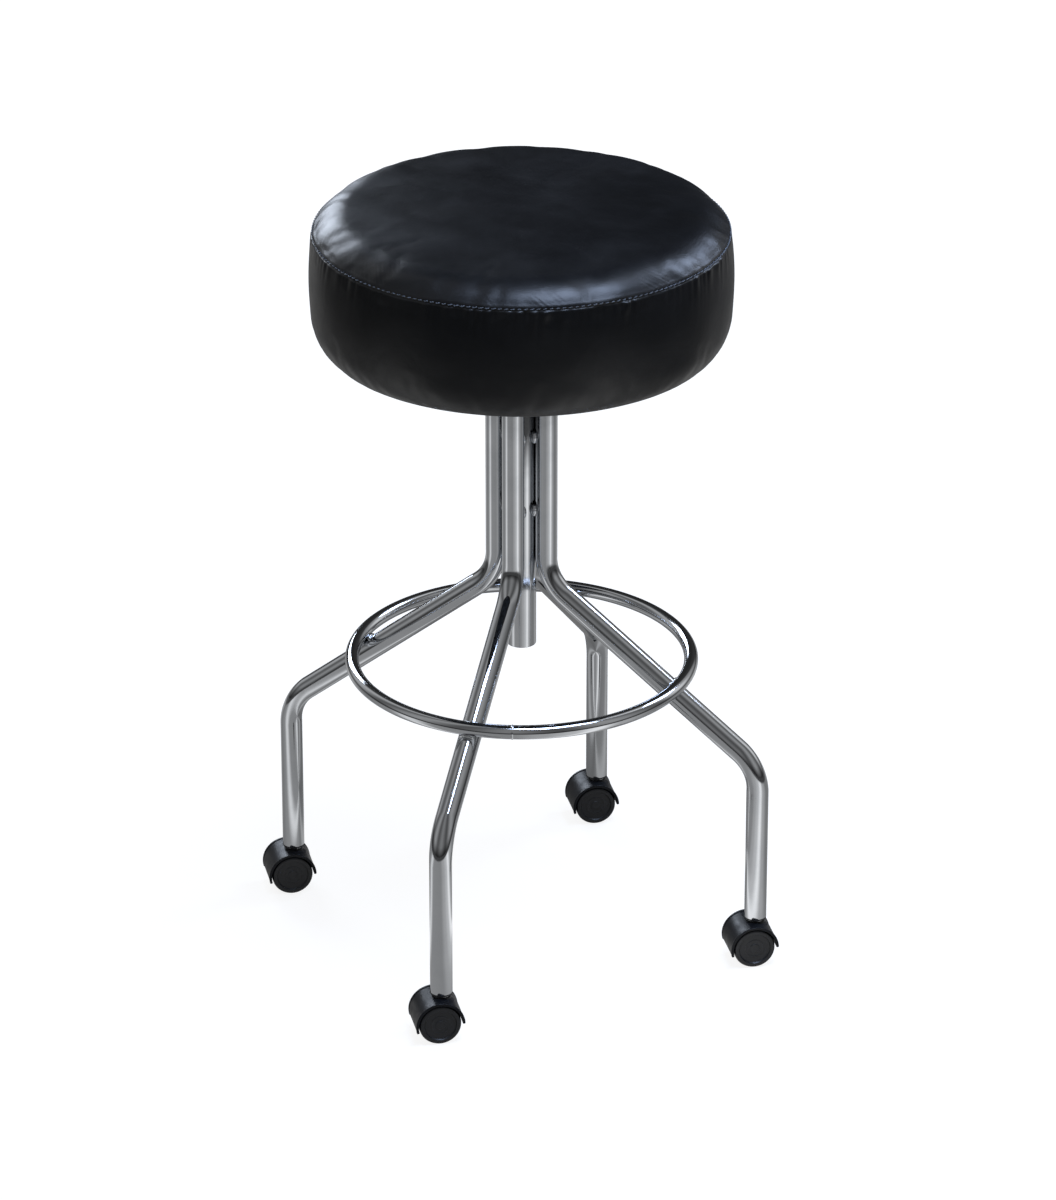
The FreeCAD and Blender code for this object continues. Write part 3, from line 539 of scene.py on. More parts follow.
# %% Leg plugs and caster sockets
PLUG_RADIUS, PLUG_DEPTH = 7.9 * MM, 8 * MM
STEM_BORE = 4.05 * MM
plug_outline = soften([
    (0, 2.6 * MM), (6.5 * MM, 2.3 * MM), (LEG_RADIUS, 1.6 * MM), (LEG_RADIUS, 0), (PLUG_RADIUS, 0),
    (PLUG_RADIUS, -PLUG_DEPTH), (0, -PLUG_DEPTH),
], 0.7 * MM)
socket_low, socket_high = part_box("caster_sockets")
socket_outline = soften([
    (STEM_BORE, socket_low.z), (LEG_RADIUS, socket_low.z), (LEG_RADIUS, LEG_FOOT), (PLUG_RADIUS, LEG_FOOT),
    (PLUG_RADIUS, socket_high.z), (STEM_BORE, socket_high.z),
], 0.4 * MM, closed=True)
plug = lathe(plug_outline, 48)
socket = lathe(socket_outline, 48, closed=True)
plugs, sockets = [], []
for angle in LEG_ANGLES.values():
    turn = turned_to(angle)
    plugs.append(moved_by(plug, turn @ Matrix.Translation((LEG_OFFSET, 0, LEG_TOP))))
    sockets.append(moved_by(socket, turn @ Matrix.Translation((FOOT_RADIUS, 0, 0))))
piece("leg_end_plugs", joined(plugs), "frame", plastic, "black_plastic", ["leg_top_plugs"])
piece("caster_stem_sockets", joined(sockets), "frame", plastic, "black_plastic", ["caster_sockets"])
dress(plastic, "hub_end_plug")
print("plugs:", len(plugs), "sockets:", len(sockets))

# %% [markdown]
# ## Seat cover and foam
#
# The seat is a thick foam disc under a vinyl cover, cut as a round top panel and a straight band, and sewn
# together a little below the top's roll. The seam draws the surface in, and the band's extra length gathers
# under it in small puckers. The padded form comes from a cloth simulation: the outline is turned into a fine
# skin, held along the seam and the hem, blown up a little from inside, and its uneven swelling is kept. The
# seam, puckers and creases are then moved into the finer mesh, because they are narrower than the simulated
# net.

# %% Turn the seat's outline
SEAT_BOTTOM = 550 * MM
HEM, HEM_EDGE = (138, 0), (162, 0)
SIDE_LOW, SEAM = (175, 25), (174, 98)
ROLL_TOP, CROWN_EDGE = (143, 116), (30, 120)
SEAM_RADIUS = SEAM[0] * MM
SEAM_HEIGHT = SEAM[1] * MM
SEAT_SEGMENTS = 200


def arc(start, stop, sagitta, portions):
    """Points from start to stop on an arc that bulges to the right of its way, at portions of its length."""
    start, stop = np.array(start, float), np.array(stop, float)
    chord = stop - start
    length = np.linalg.norm(chord)
    outward = np.array((chord[1], -chord[0])) / length
    t = 2 * np.array(portions) - 1
    radius = (length ** 2 / 4 + sagitta ** 2) / (2 * sagitta)
    rise = np.sqrt(radius ** 2 - (t * length / 2) ** 2) - (radius - sagitta)
    return [tuple((start + stop) / 2 + chord * s / 2 + outward * r) for s, r in zip(t, rise)]


def shares(count, crowd=1.0):
    """Equal steps up to 1, without 0. A crowd above 1 packs them at the start, and below 1 at the end."""
    return (np.arange(1, count + 1) / count) ** crowd


band_outline = [(r, 0) for r in np.linspace(HEM[0], HEM_EDGE[0] - 1.5, 6)] + [HEM_EDGE]
hem_points = len(band_outline)
band_outline += arc(HEM_EDGE, SIDE_LOW, 2.7, shares(8, 1.25))
band_outline += arc(SIDE_LOW, SEAM, 2.2, shares(22, 0.7))
panel_outline = arc(SEAM, ROLL_TOP, 4.2, shares(14, 1.35))
panel_outline += arc(ROLL_TOP, CROWN_EDGE, 1.0, shares(24))
panel_outline += [(CROWN_EDGE[0] * share, CROWN_EDGE[1]) for share in (0.75, 0.5, 0.25, 0)]
seat_outline = np.array(band_outline + panel_outline) * MM
steps = np.linalg.norm(np.diff(seat_outline, axis=0), axis=1)
along = np.concatenate([[0], np.cumsum(steps)])
along -= along[len(band_outline) - 1]
skin_verts, skin_faces = lathe([(r, z + SEAT_BOTTOM) for r, z in seat_outline], SEAT_SEGMENTS)
skin_along = np.append(np.repeat(along[:-1], SEAT_SEGMENTS), along[-1])
print("seat skin:", len(skin_verts), "points")

# %% [markdown]
# The simulation runs on a copy. Pressure pushes the skin out, the pinned seam and hem hold it, and a slight
# negative shrink gives the cover more cloth than the foam needs, so it settles into soft irregular waves.
# Only the unevenness is used: the mean of each ring is taken away, so the seat keeps its outline and its
# size. Half of the waves are kept, because this cover is drawn tight, and they die out towards the middle,
# where the net runs to a point.

# %% Swelling by cloth
CLOTH_FRAMES = 20


def swollen(verts, faces, held):
    """Simulate the skin as cloth and give each point's movement."""
    mesh = bpy.data.meshes.new("swelling_skin")
    mesh.from_pydata(verts.tolist(), [], faces)
    cloth_piece = bpy.data.objects.new("swelling_skin", mesh)
    scene = bpy.context.scene
    scene.collection.objects.link(cloth_piece)
    pins = cloth_piece.vertex_groups.new(name="sewn")
    pins.add([int(i) for i in np.flatnonzero(held)], 1.0, "REPLACE")
    cloth = cloth_piece.modifiers.new("cover", "CLOTH")
    cloth.settings.quality = 4
    cloth.settings.vertex_group_mass = "sewn"
    cloth.settings.use_pressure = True
    cloth.settings.uniform_pressure_force = 4
    cloth.settings.shrink_min = -0.012
    cloth.settings.tension_stiffness = 12
    cloth.settings.bending_stiffness = 0.4
    cloth.settings.effector_weights.gravity = 0
    for number in range(1, CLOTH_FRAMES + 1):
        scene.frame_set(number)
    settled = cloth_piece.evaluated_get(bpy.context.evaluated_depsgraph_get())
    result = np.array([v.co[:] for v in settled.data.vertices])
    scene.frame_set(1)
    bpy.data.objects.remove(cloth_piece)
    bpy.data.meshes.remove(mesh)
    return result - verts


# %% Start a little uneven, and swell
WAVE_LIMIT = 2.2 * MM
WAVE_KEPT = 0.5
START_UNEVEN = 0.5 * MM
CALM_MIDDLE, CALM_FADE = 25, 70
rng = np.random.default_rng(7)


def uneven(verts):
    """Soft unevenness from a few slow waves that cross each other in all directions."""
    total = 0
    for length in np.geomspace(40, 150, 14):
        way = rng.normal(size=3)
        way /= np.linalg.norm(way)
        height = rng.normal()
        total = total + height * np.cos(verts @ way / MM * FULL_TURN / length + rng.uniform(0, FULL_TURN))
    return total / 3


unevenness = uneven(skin_verts)
outward = skin_verts - np.array((0, 0, SEAT_BOTTOM + 50 * MM))
outward /= np.linalg.norm(outward, axis=1)[:, None]
sewn = (np.abs(skin_along) < 0.1 * MM) | (skin_along < along[hem_points - 1] + 0.1 * MM)
free = np.where(sewn, 0.0, 1.0)
start_verts = skin_verts + outward * (unevenness * free * START_UNEVEN)[:, None]
swell = swollen(start_verts, skin_faces, sewn) + start_verts - skin_verts
amount = (swell * outward).sum(1)
rows = amount[:-1].reshape(-1, SEAT_SEGMENTS)
wave = np.append((rows - rows.mean(1, keepdims=True)).ravel(), 0.0)
from_centre = np.linalg.norm(skin_verts[:, :2], axis=1) / MM
wave = WAVE_KEPT * WAVE_LIMIT * np.tanh(wave / WAVE_LIMIT)
wave = wave * np.clip((from_centre - CALM_MIDDLE) / CALM_FADE, 0, 1)
print("swelling in mm:", round(amount.min() / MM, 2), "to", round(amount.max() / MM, 2),
      "kept:", round(np.abs(wave).max() / MM, 2))

# %% [markdown]
# Two rounds of subdivision turn the net into a skin that is fine enough for stitches and creases. Each point
# carries its distance from the seam, negative on the band, so the seam's groove, the puckers under it and the
# creases over it can be placed by that distance and by the angle round the seat.

# %% Build the cover
cover = piece("seat_cover", (skin_verts + outward * wave[:, None], skin_faces), "seat", vinyl, "black_vinyl",
              ["seat_foam", "seat_top_panel", "seat_side_band"], crease=180)
distance = cover.data.attributes.new("from_seam", "FLOAT", "POINT")
distance.data.foreach_set("value", skin_along)
fine = cover.modifiers.new("finer", "SUBSURF")
fine.levels = fine.render_levels = 2
bpy.context.view_layer.objects.active = cover
bpy.ops.object.modifier_apply(modifier=fine.name)

mesh = cover.data
count = len(mesh.vertices)
points, normals, from_seam = np.empty(count * 3), np.empty(count * 3), np.empty(count)
mesh.vertices.foreach_get("co", points)
mesh.vertices.foreach_get("normal", normals)
mesh.attributes["from_seam"].data.foreach_get("value", from_seam)
points, normals, from_seam = points.reshape(-1, 3), normals.reshape(-1, 3), from_seam / MM
theta = np.arctan2(points[:, 1], points[:, 0])
print("cover:", count, "points")

# %% Tools for seams and creases
GATHERED_AT = math.radians(-58)
GROOVE_DEPTH, SAG_DEPTH = 0.9, 0.3
PUCKER_DEPTH, DRAPE_DEPTH, PULL_DEPTH = 2.2, 0.4, 0.3
CREASES = ((84, 38, 10, 0.16), (90, 68, 8, 0.13), (79, 8, 12, 0.12), (97, 92, 6, 0.10))


def ripple(angle, lengths_mm, seed):
    """Waves of mixed length round the seam, from about -1 to 1."""
    draw = np.random.default_rng(seed)
    total = 0
    for length in lengths_mm:
        count_round = round(FULL_TURN * SEAM_RADIUS / MM / length)
        total = total + np.cos(count_round * angle + draw.uniform(0, FULL_TURN))
    return total / len(lengths_mm)


def near(value, width):
    """1 where the value is 0, and fading smoothly to 0 beyond the width."""
    return np.exp(-(value / width) ** 2)


def long_crease(places, way, offset, bend, depth):
    """A long shallow crease across the top: a line with a way and an offset, bent by a slow wave."""
    heading = math.radians(way)
    across = places[:, 0] * math.cos(heading) + places[:, 1] * math.sin(heading)
    length = places[:, 1] * math.cos(heading) - places[:, 0] * math.sin(heading)
    line = across / MM - offset - bend * np.sin(length / MM / 38 + offset)
    return -depth * near(line, 3.2) * near(length / MM - 0.3 * offset, 62)


# %% Work in the seam, the puckers and the creases
below, above = np.clip(-from_seam, 0, None), np.clip(from_seam, 0, None)
on_band, on_top = from_seam < 0, from_seam > 0
loose = 0.3 + 0.9 * near(np.angle(np.exp(1j * (theta - GATHERED_AT))), 0.75)
patches = np.clip(0.7 + 0.8 * ripple(theta, (120, 190, 75), 3), 0.1, 1.4) * loose
puckers = (np.abs(ripple(theta + below / 1900, (13, 19, 28, 41), 5)) * 2.4 - 0.7) * patches
puckers = puckers * (1 - np.exp(-below / 1.8)) * np.exp(-below / 8) * on_band
drapes = ripple(theta, (60, 95, 140), 21) * (1 - np.exp(-below / 6)) * near(below - 35, 42) * on_band
slanted = theta + above / SEAM_RADIUS * MM
pulls = ripple(slanted, (3.6, 4.7, 6.1), 8) * np.clip(ripple(theta, (50, 85, 140), 9) + 0.15, 0, 1)
pulls = pulls * (1 - np.exp(-above / 2.5)) * np.exp(-above / 17) * on_top
groove = -GROOVE_DEPTH * near(from_seam, 1.0) + 0.2 * near(above - 3.2, 1.8) * on_top
sag = SAG_DEPTH * ripple(theta, (190, 310, 120), 11) * near(above - 75, 60)
wrinkles = sum(long_crease(points, *each) for each in CREASES) * (above > 25)
moves = groove + PUCKER_DEPTH * puckers + DRAPE_DEPTH * drapes + PULL_DEPTH * pulls + sag + wrinkles
moves = moves * MM
points = points + normals * moves[:, None]
mesh.vertices.foreach_set("co", points.ravel())
mesh.update()
print("moved by", round(moves.min() / MM, 2), "to", round(moves.max() / MM, 2), "mm")

# %% [markdown]
# Stitches are single threads, each pulled into the cover at both ends, so each one is a short bowed rod. They
# sit on the top panel's side of the seam, a few millimetres apart.

# %% Sew the seam
STITCH_PITCH = 5.2 * MM
STITCH_LENGTH = 3.7 * MM
STITCH_SUNK, STITCH_BOW = 1.5 * MM, 1.0 * MM
STITCH_RISE, STITCH_TILT = 0.8 * MM, 0.35 * MM
THREAD_RADIUS = 0.5 * MM
stitch_count = round(FULL_TURN * SEAM_RADIUS / STITCH_PITCH)
stitches = []
for number in range(stitch_count):
    angle = FULL_TURN * number / stitch_count
    t = np.linspace(-1, 1, 7)
    spin = angle + t * STITCH_LENGTH / 2 / SEAM_RADIUS
    bow = SEAM_RADIUS - STITCH_SUNK + STITCH_BOW * (1 - t ** 4)
    height = SEAT_BOTTOM + SEAM_HEIGHT + STITCH_RISE + STITCH_TILT * t
    line = np.stack([bow * np.cos(spin), bow * np.sin(spin), height], 1)
    stitches.append(sweep(line, THREAD_RADIUS, (0, 0, 1), sides=7))
piece("seam_stitches", joined(stitches), "seat", thread, "black_vinyl", crease=80)
print("stitches:", stitch_count)

# %% [markdown]
# ## Under the seat
#
# The cover is folded under the board and closed with a round of black cloth, held by staples. A painted steel
# plate, welded to the spindle, is screwed up through the cloth into the board. Only a low view sees this, but
# the seat rises on its screw, so it has to be right.

# %% Dust cover
DUST_RADIUS = 150 * MM
DUST_DROP, DUST_SAG, TUG_DEPTH = 0.55 * MM, 0.12 * MM, 0.9 * MM
dust_rings = np.linspace(0, 1, 26)
dust_verts, dust_faces = lathe([(DUST_RADIUS * t, 0) for t in dust_rings], 120)
dust_angle = np.arctan2(dust_verts[:, 1], dust_verts[:, 0])
dust_reach = np.linalg.norm(dust_verts[:, :2], axis=1) / DUST_RADIUS
tugs = ripple(dust_angle, (34, 55, 80, 26), 13) * np.clip(dust_reach - 0.55, 0, 1) ** 2
dust_verts[:, 2] = SEAT_BOTTOM - DUST_DROP - DUST_SAG * dust_reach + TUG_DEPTH * tugs * (dust_reach < 0.995)
dust = piece("dust_cover_cloth", (dust_verts, dust_faces), "seat", felt, "black_cloth", ["dust_cover"],
             crease=80)
print("dust cover:", len(dust_verts), "points")

# %% Staples
STAPLE_COUNT = 34
STAPLE_CIRCLE = 143 * MM
WIRE_RADIUS = 0.45 * MM
wire = soften([(-5, 0, 1.5), (-5, 0, 0), (5, 0, 0), (5, 0, 1.5)], 0.6)
staple = sweep(np.array(wire) * MM, WIRE_RADIUS, (0, 1, 0), sides=8)
staples = []
for number in range(STAPLE_COUNT):
    angle = FULL_TURN * (number + 0.15 * math.sin(5 * number)) / STAPLE_COUNT
    spot = Matrix.Rotation(angle, 4, "Z") @ Matrix.Translation((STAPLE_CIRCLE, 0, SEAT_BOTTOM - 1.3 * MM))
    stagger = turned_to(90 + 9 * math.sin(3 * number))
    staples.append(moved_by(staple, spot @ stagger))
piece("dust_cover_staples", joined(staples), "seat", zinc, "zinc_plated_steel")
print("staples:", STAPLE_COUNT)

# %% Plate and its weld
PLATE_BORE, PLATE_RADIUS = 9.1 * MM, 75 * MM
WELD_CIRCLE = 10.6 * MM
plate_low, plate_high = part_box("seat_plate")
plate_outline = soften([
    (PLATE_BORE, plate_low.z), (PLATE_RADIUS, plate_low.z),
    (PLATE_RADIUS, plate_high.z), (PLATE_BORE, plate_high.z),
], 0.7 * MM, closed=True)
piece("seat_plate_painted", lathe(plate_outline, 128, closed=True), "seat", powder, "black_painted_steel",
      ["seat_plate"])

around = np.linspace(0, FULL_TURN, 145)
weld_line = np.stack([
    WELD_CIRCLE * np.cos(around), WELD_CIRCLE * np.sin(around), plate_low.z - 1.1 * MM + 0 * around,
], 1)
weld_puddles = (2.0 + 0.25 * np.abs(np.sin(12 * around))) * MM
piece("plate_weld_bead", sweep(weld_line, weld_puddles, (0, 0, 1), sides=14), "seat", powder,
      "black_painted_steel", ["plate_weld"], crease=70)
print("plate:", round((plate_high.z - plate_low.z) / MM, 1), "mm thick")

# %% Plate screws
SCREW_CIRCLE = 55 * MM
HEAD_HEIGHT = 3.6
head_outline = soften([
    (0, 2.2), (2.3, 2.0), (2.5, 0), (4.6, 0.15), (5.5, 1.7), (5.5, HEAD_HEIGHT), (0, HEAD_HEIGHT),
], 0.5)
head_verts, head_faces = lathe(np.array(head_outline) * MM, 48)
reach = np.linalg.norm(head_verts[:, :2], axis=1)
turn = np.arctan2(head_verts[:, 1], head_verts[:, 0])
hexagon = math.cos(math.pi / 6) / np.cos((turn + math.pi / 6) % (math.pi / 3) - math.pi / 6)
inside = (reach < 2.6 * MM) & (head_verts[:, 2] < 2.3 * MM)
head_verts[:, :2] *= np.where(inside, hexagon, 1.0)[:, None]
heads = []
for quarter in range(4):
    spot = turned_to(45 + 90 * quarter)
    spot = spot @ Matrix.Translation((SCREW_CIRCLE, 0, plate_low.z - HEAD_HEIGHT * MM))
    heads.append(moved_by((head_verts, head_faces), spot @ Matrix.Rotation(0.7 * quarter, 4, "Z")))
piece("plate_screw_heads", joined(heads), "seat", zinc, "zinc_plated_steel", ["plate_screws"])

dress(zinc, "spindle", "spindle_nut", "guide_bolt", "guide_washer", "tee_nuts")
dress(guide_nylon, "spindle_guide")
dress(plywood, "seat_board")
print("screws:", len(heads))

# %% [markdown]
# ## Casters
#
# Each caster is a moulded hood over two wheels, turning on a steel stem. The hood is half a drum, closed over
# the top and longer behind, with a rolled rim and a neck for the stem. A revolved outline can't stop part-way
# with a rounded end, so the hood's section is carried round the axle by hand and drawn in at both ends.

# %% Hood's shell
TRAIL = 4 * MM
AXLE_HEIGHT = 18 * MM
HOOD_RADIUS = 20.6 * MM
HOOD_BORE = 18.8 * MM
HOOD_HALF = 18 * MM
RIM_RADIUS = 21.1 * MM
RIM_START, RIM_END = 16.2 * MM, 15.2 * MM
HOOD_WRAP = math.radians(196)


def hood_shell():
    """The section that covers both wheels, carried round the axle."""
    section = np.array(soften([
        (-HOOD_HALF, HOOD_BORE), (-HOOD_HALF, RIM_RADIUS), (-RIM_START, RIM_RADIUS), (-RIM_END, HOOD_RADIUS),
        (RIM_END, HOOD_RADIUS), (RIM_START, RIM_RADIUS), (HOOD_HALF, RIM_RADIUS), (HOOD_HALF, HOOD_BORE),
    ], 0.35 * MM, closed=True))
    middle = (HOOD_BORE + HOOD_RADIUS) / 2
    edge = 0.8 * MM / HOOD_RADIUS
    turns = [(0.0, 0.35), (edge * 0.35, 0.8), (edge, 1.0)]
    turns += [(a, 1.0) for a in np.linspace(edge, HOOD_WRAP - edge, 72)[1:-1]]
    turns += [(HOOD_WRAP - edge, 1.0), (HOOD_WRAP - edge * 0.35, 0.8), (HOOD_WRAP, 0.35)]
    verts = []
    for turn, thin in turns:
        radius = middle + (section[:, 1] - middle) * thin
        width = section[:, 0] * (1 - (1 - thin) * 0.03)
        ahead, up = radius * math.cos(turn) - TRAIL, radius * math.sin(turn) + AXLE_HEIGHT
        verts.append(np.stack([ahead, width, up], 1))
    return np.concatenate(verts), closed_rings(len(turns), len(section))


# %% Hood's web and neck
WEB_HALF, BOSS_RADIUS = 6 * MM, 6 * MM


def hood_web():
    """The wall between the wheels, with the axle's boss."""
    rim = [(math.cos(a) * HOOD_BORE, math.sin(a) * HOOD_BORE)
           for a in np.linspace(0.03, HOOD_WRAP - 0.03, 48)]
    boss = [(math.cos(a) * BOSS_RADIUS, math.sin(a) * BOSS_RADIUS)
            for a in np.linspace(HOOD_WRAP, FULL_TURN, 16)]
    outline = np.array(rim + boss)
    size = len(outline)
    walls = [np.stack([outline[:, 0] - TRAIL, np.full(size, y), outline[:, 1] + AXLE_HEIGHT], 1)
             for y in (-WEB_HALF, WEB_HALF)]
    return np.concatenate(walls), closed_rings(2, size)


neck_outline = soften([
    (4.1, 39.2), (7.4, 39.2), (8.25, 38.6), (8.4, 36.5), (11.0, 33.5), (11.0, 31), (4.1, 31),
], 0.5, closed=True)
neck = lathe(np.array(neck_outline) * MM, 56, closed=True)
hood_shape = joined([hood_shell(), hood_web(), neck])
print("hood points:", len(hood_shape[0]))

# %% [markdown]
# The wheels are turned: a slightly crowned tread, rounded shoulders, and a face with a wide shallow dish and
# a small cap over the axle's end. The wheel is drawn with its axis up and laid over to the axle for each
# side.

# %% Wheel
HOLE_RADIUS, HOLE_DEPTH = 2.55, 7.6
wheel_outline = soften([
    (HOLE_RADIUS, 0.0), (15.6, 0.0), (17.1, 0.5), (17.9, 2.2), (18.0, 5.3), (17.9, 8.6), (17.1, 10.2),
    (15.8, 10.6), (13.9, 10.6), (13.2, 9.1), (8.6, 9.1), (8.2, 9.4), (7.4, 9.4), (7.0, 9.1), (4.4, 9.1),
    (4.1, 9.6), (0.0, 9.8),
], 0.45, steps=3)
hole_outline = [(HOLE_RADIUS, 0), (HOLE_RADIUS, HOLE_DEPTH), (0, HOLE_DEPTH)]
wheel_shape = joined([lathe(np.array(outline) * MM, 84) for outline in (wheel_outline, hole_outline)])
print("wheel points:", len(wheel_shape[0]))

# %% Put a caster under each leg
HEADING = turned_to(30.5)
WHEEL_START = 6.6 * MM
for side, angle in LEG_ANGLES.items():
    swivel = turned_to(angle) @ Matrix.Translation((FOOT_RADIUS, 0, 0))
    swivel = Matrix.Translation(swivel.translation) @ HEADING
    name = f"caster_{side}"
    piece(f"{name}_moulded_hood", hood_shape, name, nylon, "caster_nylon", [f"{name}_hood"], at=swivel)
    for wheel, way in (("wheel_a", -1), ("wheel_b", 1)):
        axle_end = Matrix.Translation((-TRAIL, way * WHEEL_START, AXLE_HEIGHT))
        laid = Matrix.Rotation(math.radians(-90 * way), 4, "X")
        piece(f"{name}_{wheel}_turned", wheel_shape, f"{name}_{wheel}", wheel_nylon, "wheel_nylon",
              [f"{name}_{wheel}"], at=swivel @ axle_end @ laid)
    dress(zinc, f"{name}_stem", f"{name}_grip_ring", f"{name}_axle")
print("casters:", len(LEG_ANGLES))

# %% [markdown]
# ## Floor and light
#
# The photograph is a cut-out on white, so the floor is pale and keeps only the stool's own soft shadow. Seen
# by the camera it gets most of its white from itself, through Light Path, so that no extra light falls on the
# stool, and more of it far off, where the lamps don't reach and an edge would show against the white room. An
# upright chrome tube seen from above mirrors nothing but the floor, and on an even floor it would look like
# grey paint. So mirrors see the floor in greys that change round the stool, as if cards lay there: the
# brightest, in front to the right, draws the streak on each tube. The cards end a little over a metre from
# the stool. The seat's band, which is higher than the tubes, mirrors the darker bare floor beyond them and
# stays dark. Behind the stool the bare floor is lighter, so that the chrome isn't black when seen from there.

# %% Greys round the set
FLOOR_CARDS = (
    (-180, 0.16), (-154, 0.20), (-134, 0.42), (-112, 0.22), (-88, 0.30), (-70, 0.80), (-52, 0.30), (-8, 0.28),
    (12, 0.42), (30, 0.58), (46, 1.0), (62, 0.45), (90, 0.22), (114, 0.24), (136, 0.42), (156, 0.20),
    (180, 0.16),
)
BARE_FLOOR = (
    (-180, 0.24), (-150, 0.24), (-125, 0.13), (-95, 0.06), (95, 0.06), (125, 0.13), (150, 0.24), (180, 0.24),
)


def greys_round(tree, stops):
    """Greys that change round the set. A stop is degrees to the right of the camera, and a strength."""
    spot = add(tree, "TexCoord").outputs["Object"]
    faced = add(tree, "Mapping", {"Vector": spot, "Scale": (1, -1, 1), "Rotation": (0, 0, CAMERA_AZIMUTH)})
    parts = add(tree, "SeparateXYZ", {"Vector": faced.outputs["Vector"]})
    way = add(tree, "Math", {0: parts.outputs["X"], 1: parts.outputs["Y"]}, operation="ARCTAN2")
    share = add(tree, "Math", {0: way.outputs["Value"], 1: 1 / FULL_TURN, 2: 0.5}, operation="MULTIPLY_ADD")
    ramp = add(tree, "ValToRGB", {"Fac": share.outputs["Value"]})
    ramp.color_ramp.interpolation = "EASE"
    while len(ramp.color_ramp.elements) < len(stops):
        ramp.color_ramp.elements.new(0.5)
    for element, (degrees, strength) in zip(ramp.color_ramp.elements, stops):
        element.position = degrees / 360 + 0.5
        element.color = (strength, strength, strength, 1)
    return ramp.outputs["Color"]


def empty_tree(owner):
    """The node tree of a material or a world, with no nodes in it."""
    owner.use_nodes = True
    owner.node_tree.nodes.clear()
    return owner.node_tree


print("greys:", len(FLOOR_CARDS), "on the cards,", len(BARE_FLOOR), "beyond them")

# %% Pale floor
FLOOR_REACH = 14
OWN_WHITE, NEAR_SHARE, FAR_SHARE = 1.25, 0.7, 0.82
FAR_OFF = (1.2, 3.0)
CARDS_END = (1.1, 1.4)
CARD_STRENGTH = 1.35
floor_finish = bpy.data.materials.new("pale_studio_floor")
tree = empty_tree(floor_finish)
path = add(tree, "LightPath")
floor_spot = add(tree, "TexCoord").outputs["Object"]
speckle = add(tree, "TexNoise", {"Vector": floor_spot, "Scale": per_metre(60), "Detail": 3.0})
paper = add(tree, "Mix", {0: speckle.outputs["Fac"], 6: linear("#DADADA"), 7: linear("#E2E2E2")},
            data_type="RGBA")
matt_white = add(tree, "BsdfDiffuse", {"Color": paper.outputs[2]})
own_white = add(tree, "Emission", {"Color": (1, 1, 1, 1), "Strength": OWN_WHITE})
from_stool = add(tree, "VectorMath", {0: floor_spot}, operation="LENGTH")
white_share = add(tree, "MapRange", {"Value": from_stool.outputs["Value"], "From Min": FAR_OFF[0],
                                     "From Max": FAR_OFF[1], "To Min": NEAR_SHARE, "To Max": FAR_SHARE})
by_camera = add(tree, "Math", {0: path.outputs["Is Camera Ray"], 1: white_share.outputs["Result"]},
                operation="MULTIPLY")
to_camera = add(tree, "MixShader", {"Fac": by_camera.outputs["Value"], 1: matt_white.outputs["BSDF"],
                                    2: own_white.outputs["Emission"]})
past_cards = add(tree, "MapRange", {"Value": from_stool.outputs["Value"], "From Min": CARDS_END[0],
                                    "From Max": CARDS_END[1]})
floor_grey = add(tree, "Mix", {0: past_cards.outputs["Result"], 6: greys_round(tree, FLOOR_CARDS),
                               7: greys_round(tree, BARE_FLOOR)}, data_type="RGBA")
cards = add(tree, "Emission", {"Color": floor_grey.outputs[2], "Strength": CARD_STRENGTH})
mixed = add(tree, "MixShader", {"Fac": path.outputs["Is Glossy Ray"], 1: to_camera.outputs["Shader"],
                                2: cards.outputs["Emission"]})
add(tree, "OutputMaterial", {"Surface": mixed.outputs["Shader"]})


def stage_piece(name, verts, faces, finish):
    mesh = bpy.data.meshes.new(name)
    mesh.from_pydata(verts, [], faces)
    mesh.materials.append(finish)
    made = bpy.data.objects.new(name, mesh)
    bpy.context.scene.collection.objects.link(made)
    return made


corners = [(x * FLOOR_REACH, y * FLOOR_REACH, 0) for x, y in ((-1, -1), (1, -1), (1, 1), (-1, 1))]
stage_piece("studio_floor", corners, [[0, 1, 2, 3]], floor_finish)
print("floor's share of its own white:", NEAR_SHARE, "to", FAR_SHARE)

# %% [markdown]
# The world is a white room: that is what the camera and every mirror see of it, while for lighting it stays
# at a plain level. Mirrored whole, so much white would turn the black vinyl grey and the chrome pale, so a
# grey tent stands round the set, as photographers use for shiny things. Only reflections see it. It is black
# behind the stool, where the flat of the seat would mirror it, and dark along the floor, which gives the
# chrome its thin dark lines.

# %% White room
ROOM_LIGHT = 0.2
world = bpy.data.worlds.new("white_room")
bpy.context.scene.world = world
tree = empty_tree(world)
path = add(tree, "LightPath")
mirrors = add(tree, "Math", {0: path.outputs["Is Glossy Ray"], 1: path.outputs["Is Transmission Ray"]},
              operation="MAXIMUM")
seen = add(tree, "Math", {0: path.outputs["Is Camera Ray"], 1: mirrors.outputs["Value"]}, operation="MAXIMUM")
shown = add(tree, "Mix", {0: seen.outputs["Value"], 2: ROOM_LIGHT, 3: 1.0}, data_type="FLOAT")
sky = add(tree, "Background", {"Color": (1, 1, 1, 1), "Strength": shown.outputs[0]})
add(tree, "OutputWorld", {"Surface": sky.outputs["Background"]})
print("room light:", ROOM_LIGHT)

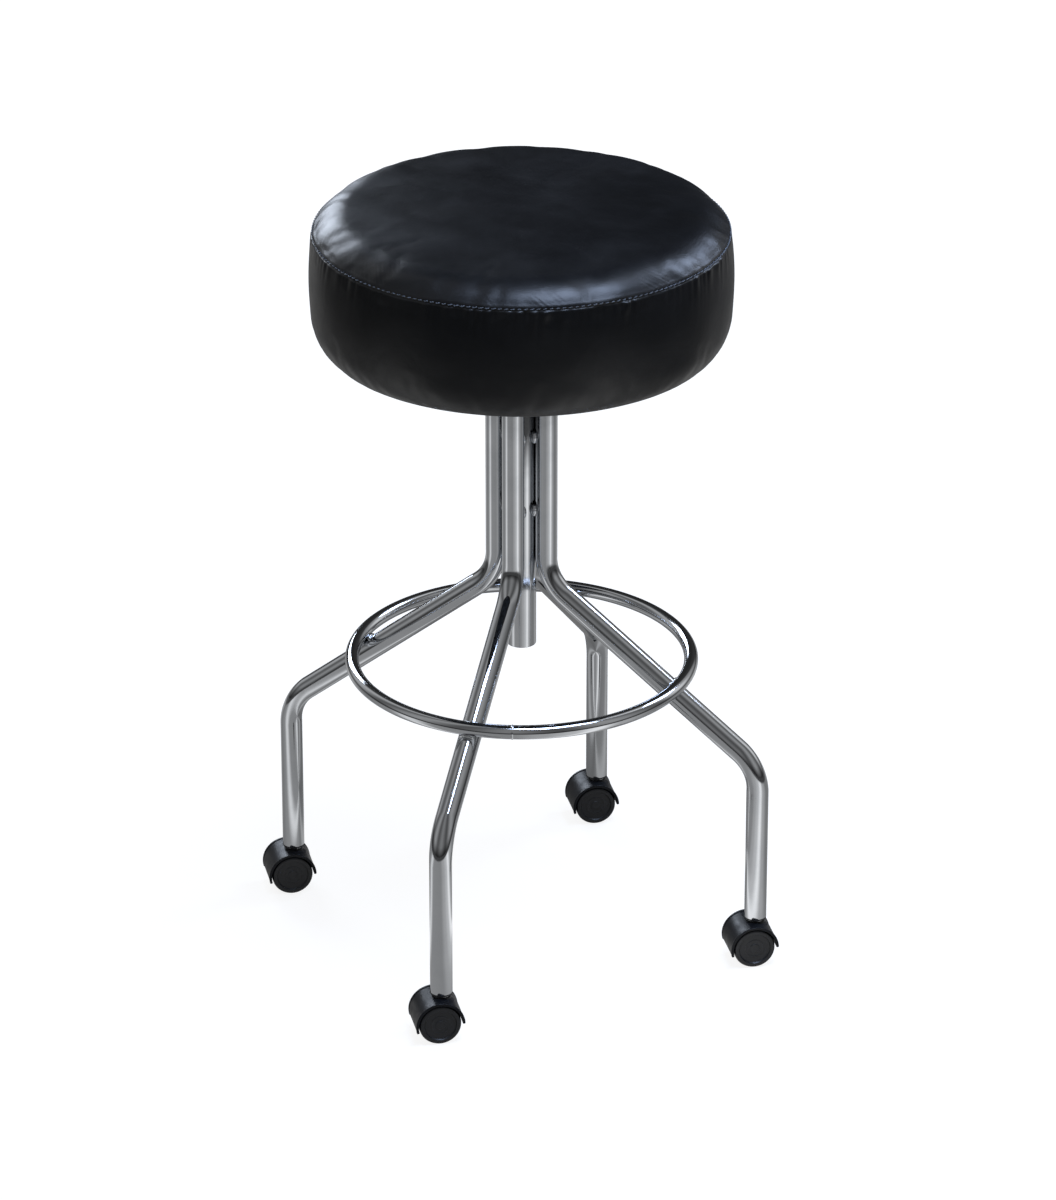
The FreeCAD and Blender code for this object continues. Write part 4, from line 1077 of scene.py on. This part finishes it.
# %% Grey tent
TENT_RADIUS = 3.4
TENT_HEIGHT = 5.2
SKIRT_LOW, SKIRT_HIGH, SKIRT_GREY = 0.05, 0.9, 0.12
TENT_GREYS = (
    (-180, 0.03), (-150, 0.05), (-128, 0.60), (-100, 0.16), (-70, 0.45), (-40, 0.14), (-10, 0.30), (25, 0.12),
    (60, 0.45), (95, 0.16), (118, 1.0), (138, 0.40), (152, 0.05), (180, 0.03),
)
tent_cloth = bpy.data.materials.new("grey_tent_cloth")
tree = empty_tree(tent_cloth)
tent_spot = add(tree, "SeparateXYZ", {"Vector": add(tree, "TexCoord").outputs["Object"]})
skirting = add(tree, "MapRange", {"Value": tent_spot.outputs["Z"], "From Min": SKIRT_LOW,
                                  "From Max": SKIRT_HIGH, "To Min": SKIRT_GREY})
cloth_glow = add(tree, "Emission", {"Color": greys_round(tree, TENT_GREYS),
                                    "Strength": skirting.outputs["Result"]})
add(tree, "OutputMaterial", {"Surface": cloth_glow.outputs["Emission"]})
tent_outline = [(TENT_RADIUS, 0.02), (TENT_RADIUS, TENT_HEIGHT), (0, TENT_HEIGHT + 0.6)]
tent_verts, tent_faces = lathe(tent_outline, 64)
tent = stage_piece("grey_tent", tent_verts.tolist(), tent_faces, tent_cloth)
for ray in ("camera", "diffuse", "transmission", "volume_scatter", "shadow"):
    setattr(tent, "visible_" + ray, False)
print("tent:", TENT_RADIUS, "m round the set")

# %% [markdown]
# Three soft lamps stand where the photograph's highlights ask for them. On the seat's roll the left end
# shines from behind on the left, the front shines from above, and the right shines from behind on the right.
# They have the faint blue of daylight, deeper in the two that stand for open sky, and the black vinyl shows
# it. The same lamps draw bright lines along the sloping tubes.

# %% Lamps
DAYLIGHT, SKYLIGHT = linear("#E6F0FF")[:3], linear("#C8DCFF")[:3]
LAMPS_LOOK_AT = Vector((0, 0, 0.6))


def softbox(name, colour, azimuth, elevation, distance, width, height, power):
    """A large lamp that looks at the seat. Azimuth is counted from the camera's side, towards its right."""
    a = CAMERA_AZIMUTH + math.radians(azimuth)
    e = math.radians(elevation)
    away = Vector((math.sin(a) * math.cos(e), -math.cos(a) * math.cos(e), math.sin(e)))
    lamp = bpy.data.lights.new(name, "AREA")
    lamp.shape = "RECTANGLE"
    lamp.color = colour
    lamp.size, lamp.size_y, lamp.energy = width, height, power
    made = bpy.data.objects.new(name, lamp)
    made.location = LAMPS_LOOK_AT + away * distance
    made.rotation_mode = "QUATERNION"
    made.rotation_quaternion = (-away).to_track_quat("-Z", "Y")
    bpy.context.scene.collection.objects.link(made)


softbox("left_window", DAYLIGHT, -153, 16, 2.6, 1.05, 0.95, 28)
softbox("ceiling_softbox", SKYLIGHT, 48, 72, 2.5, 1.5, 1.0, 72)
softbox("right_window", SKYLIGHT, 124, 36, 2.6, 0.7, 0.8, 26)
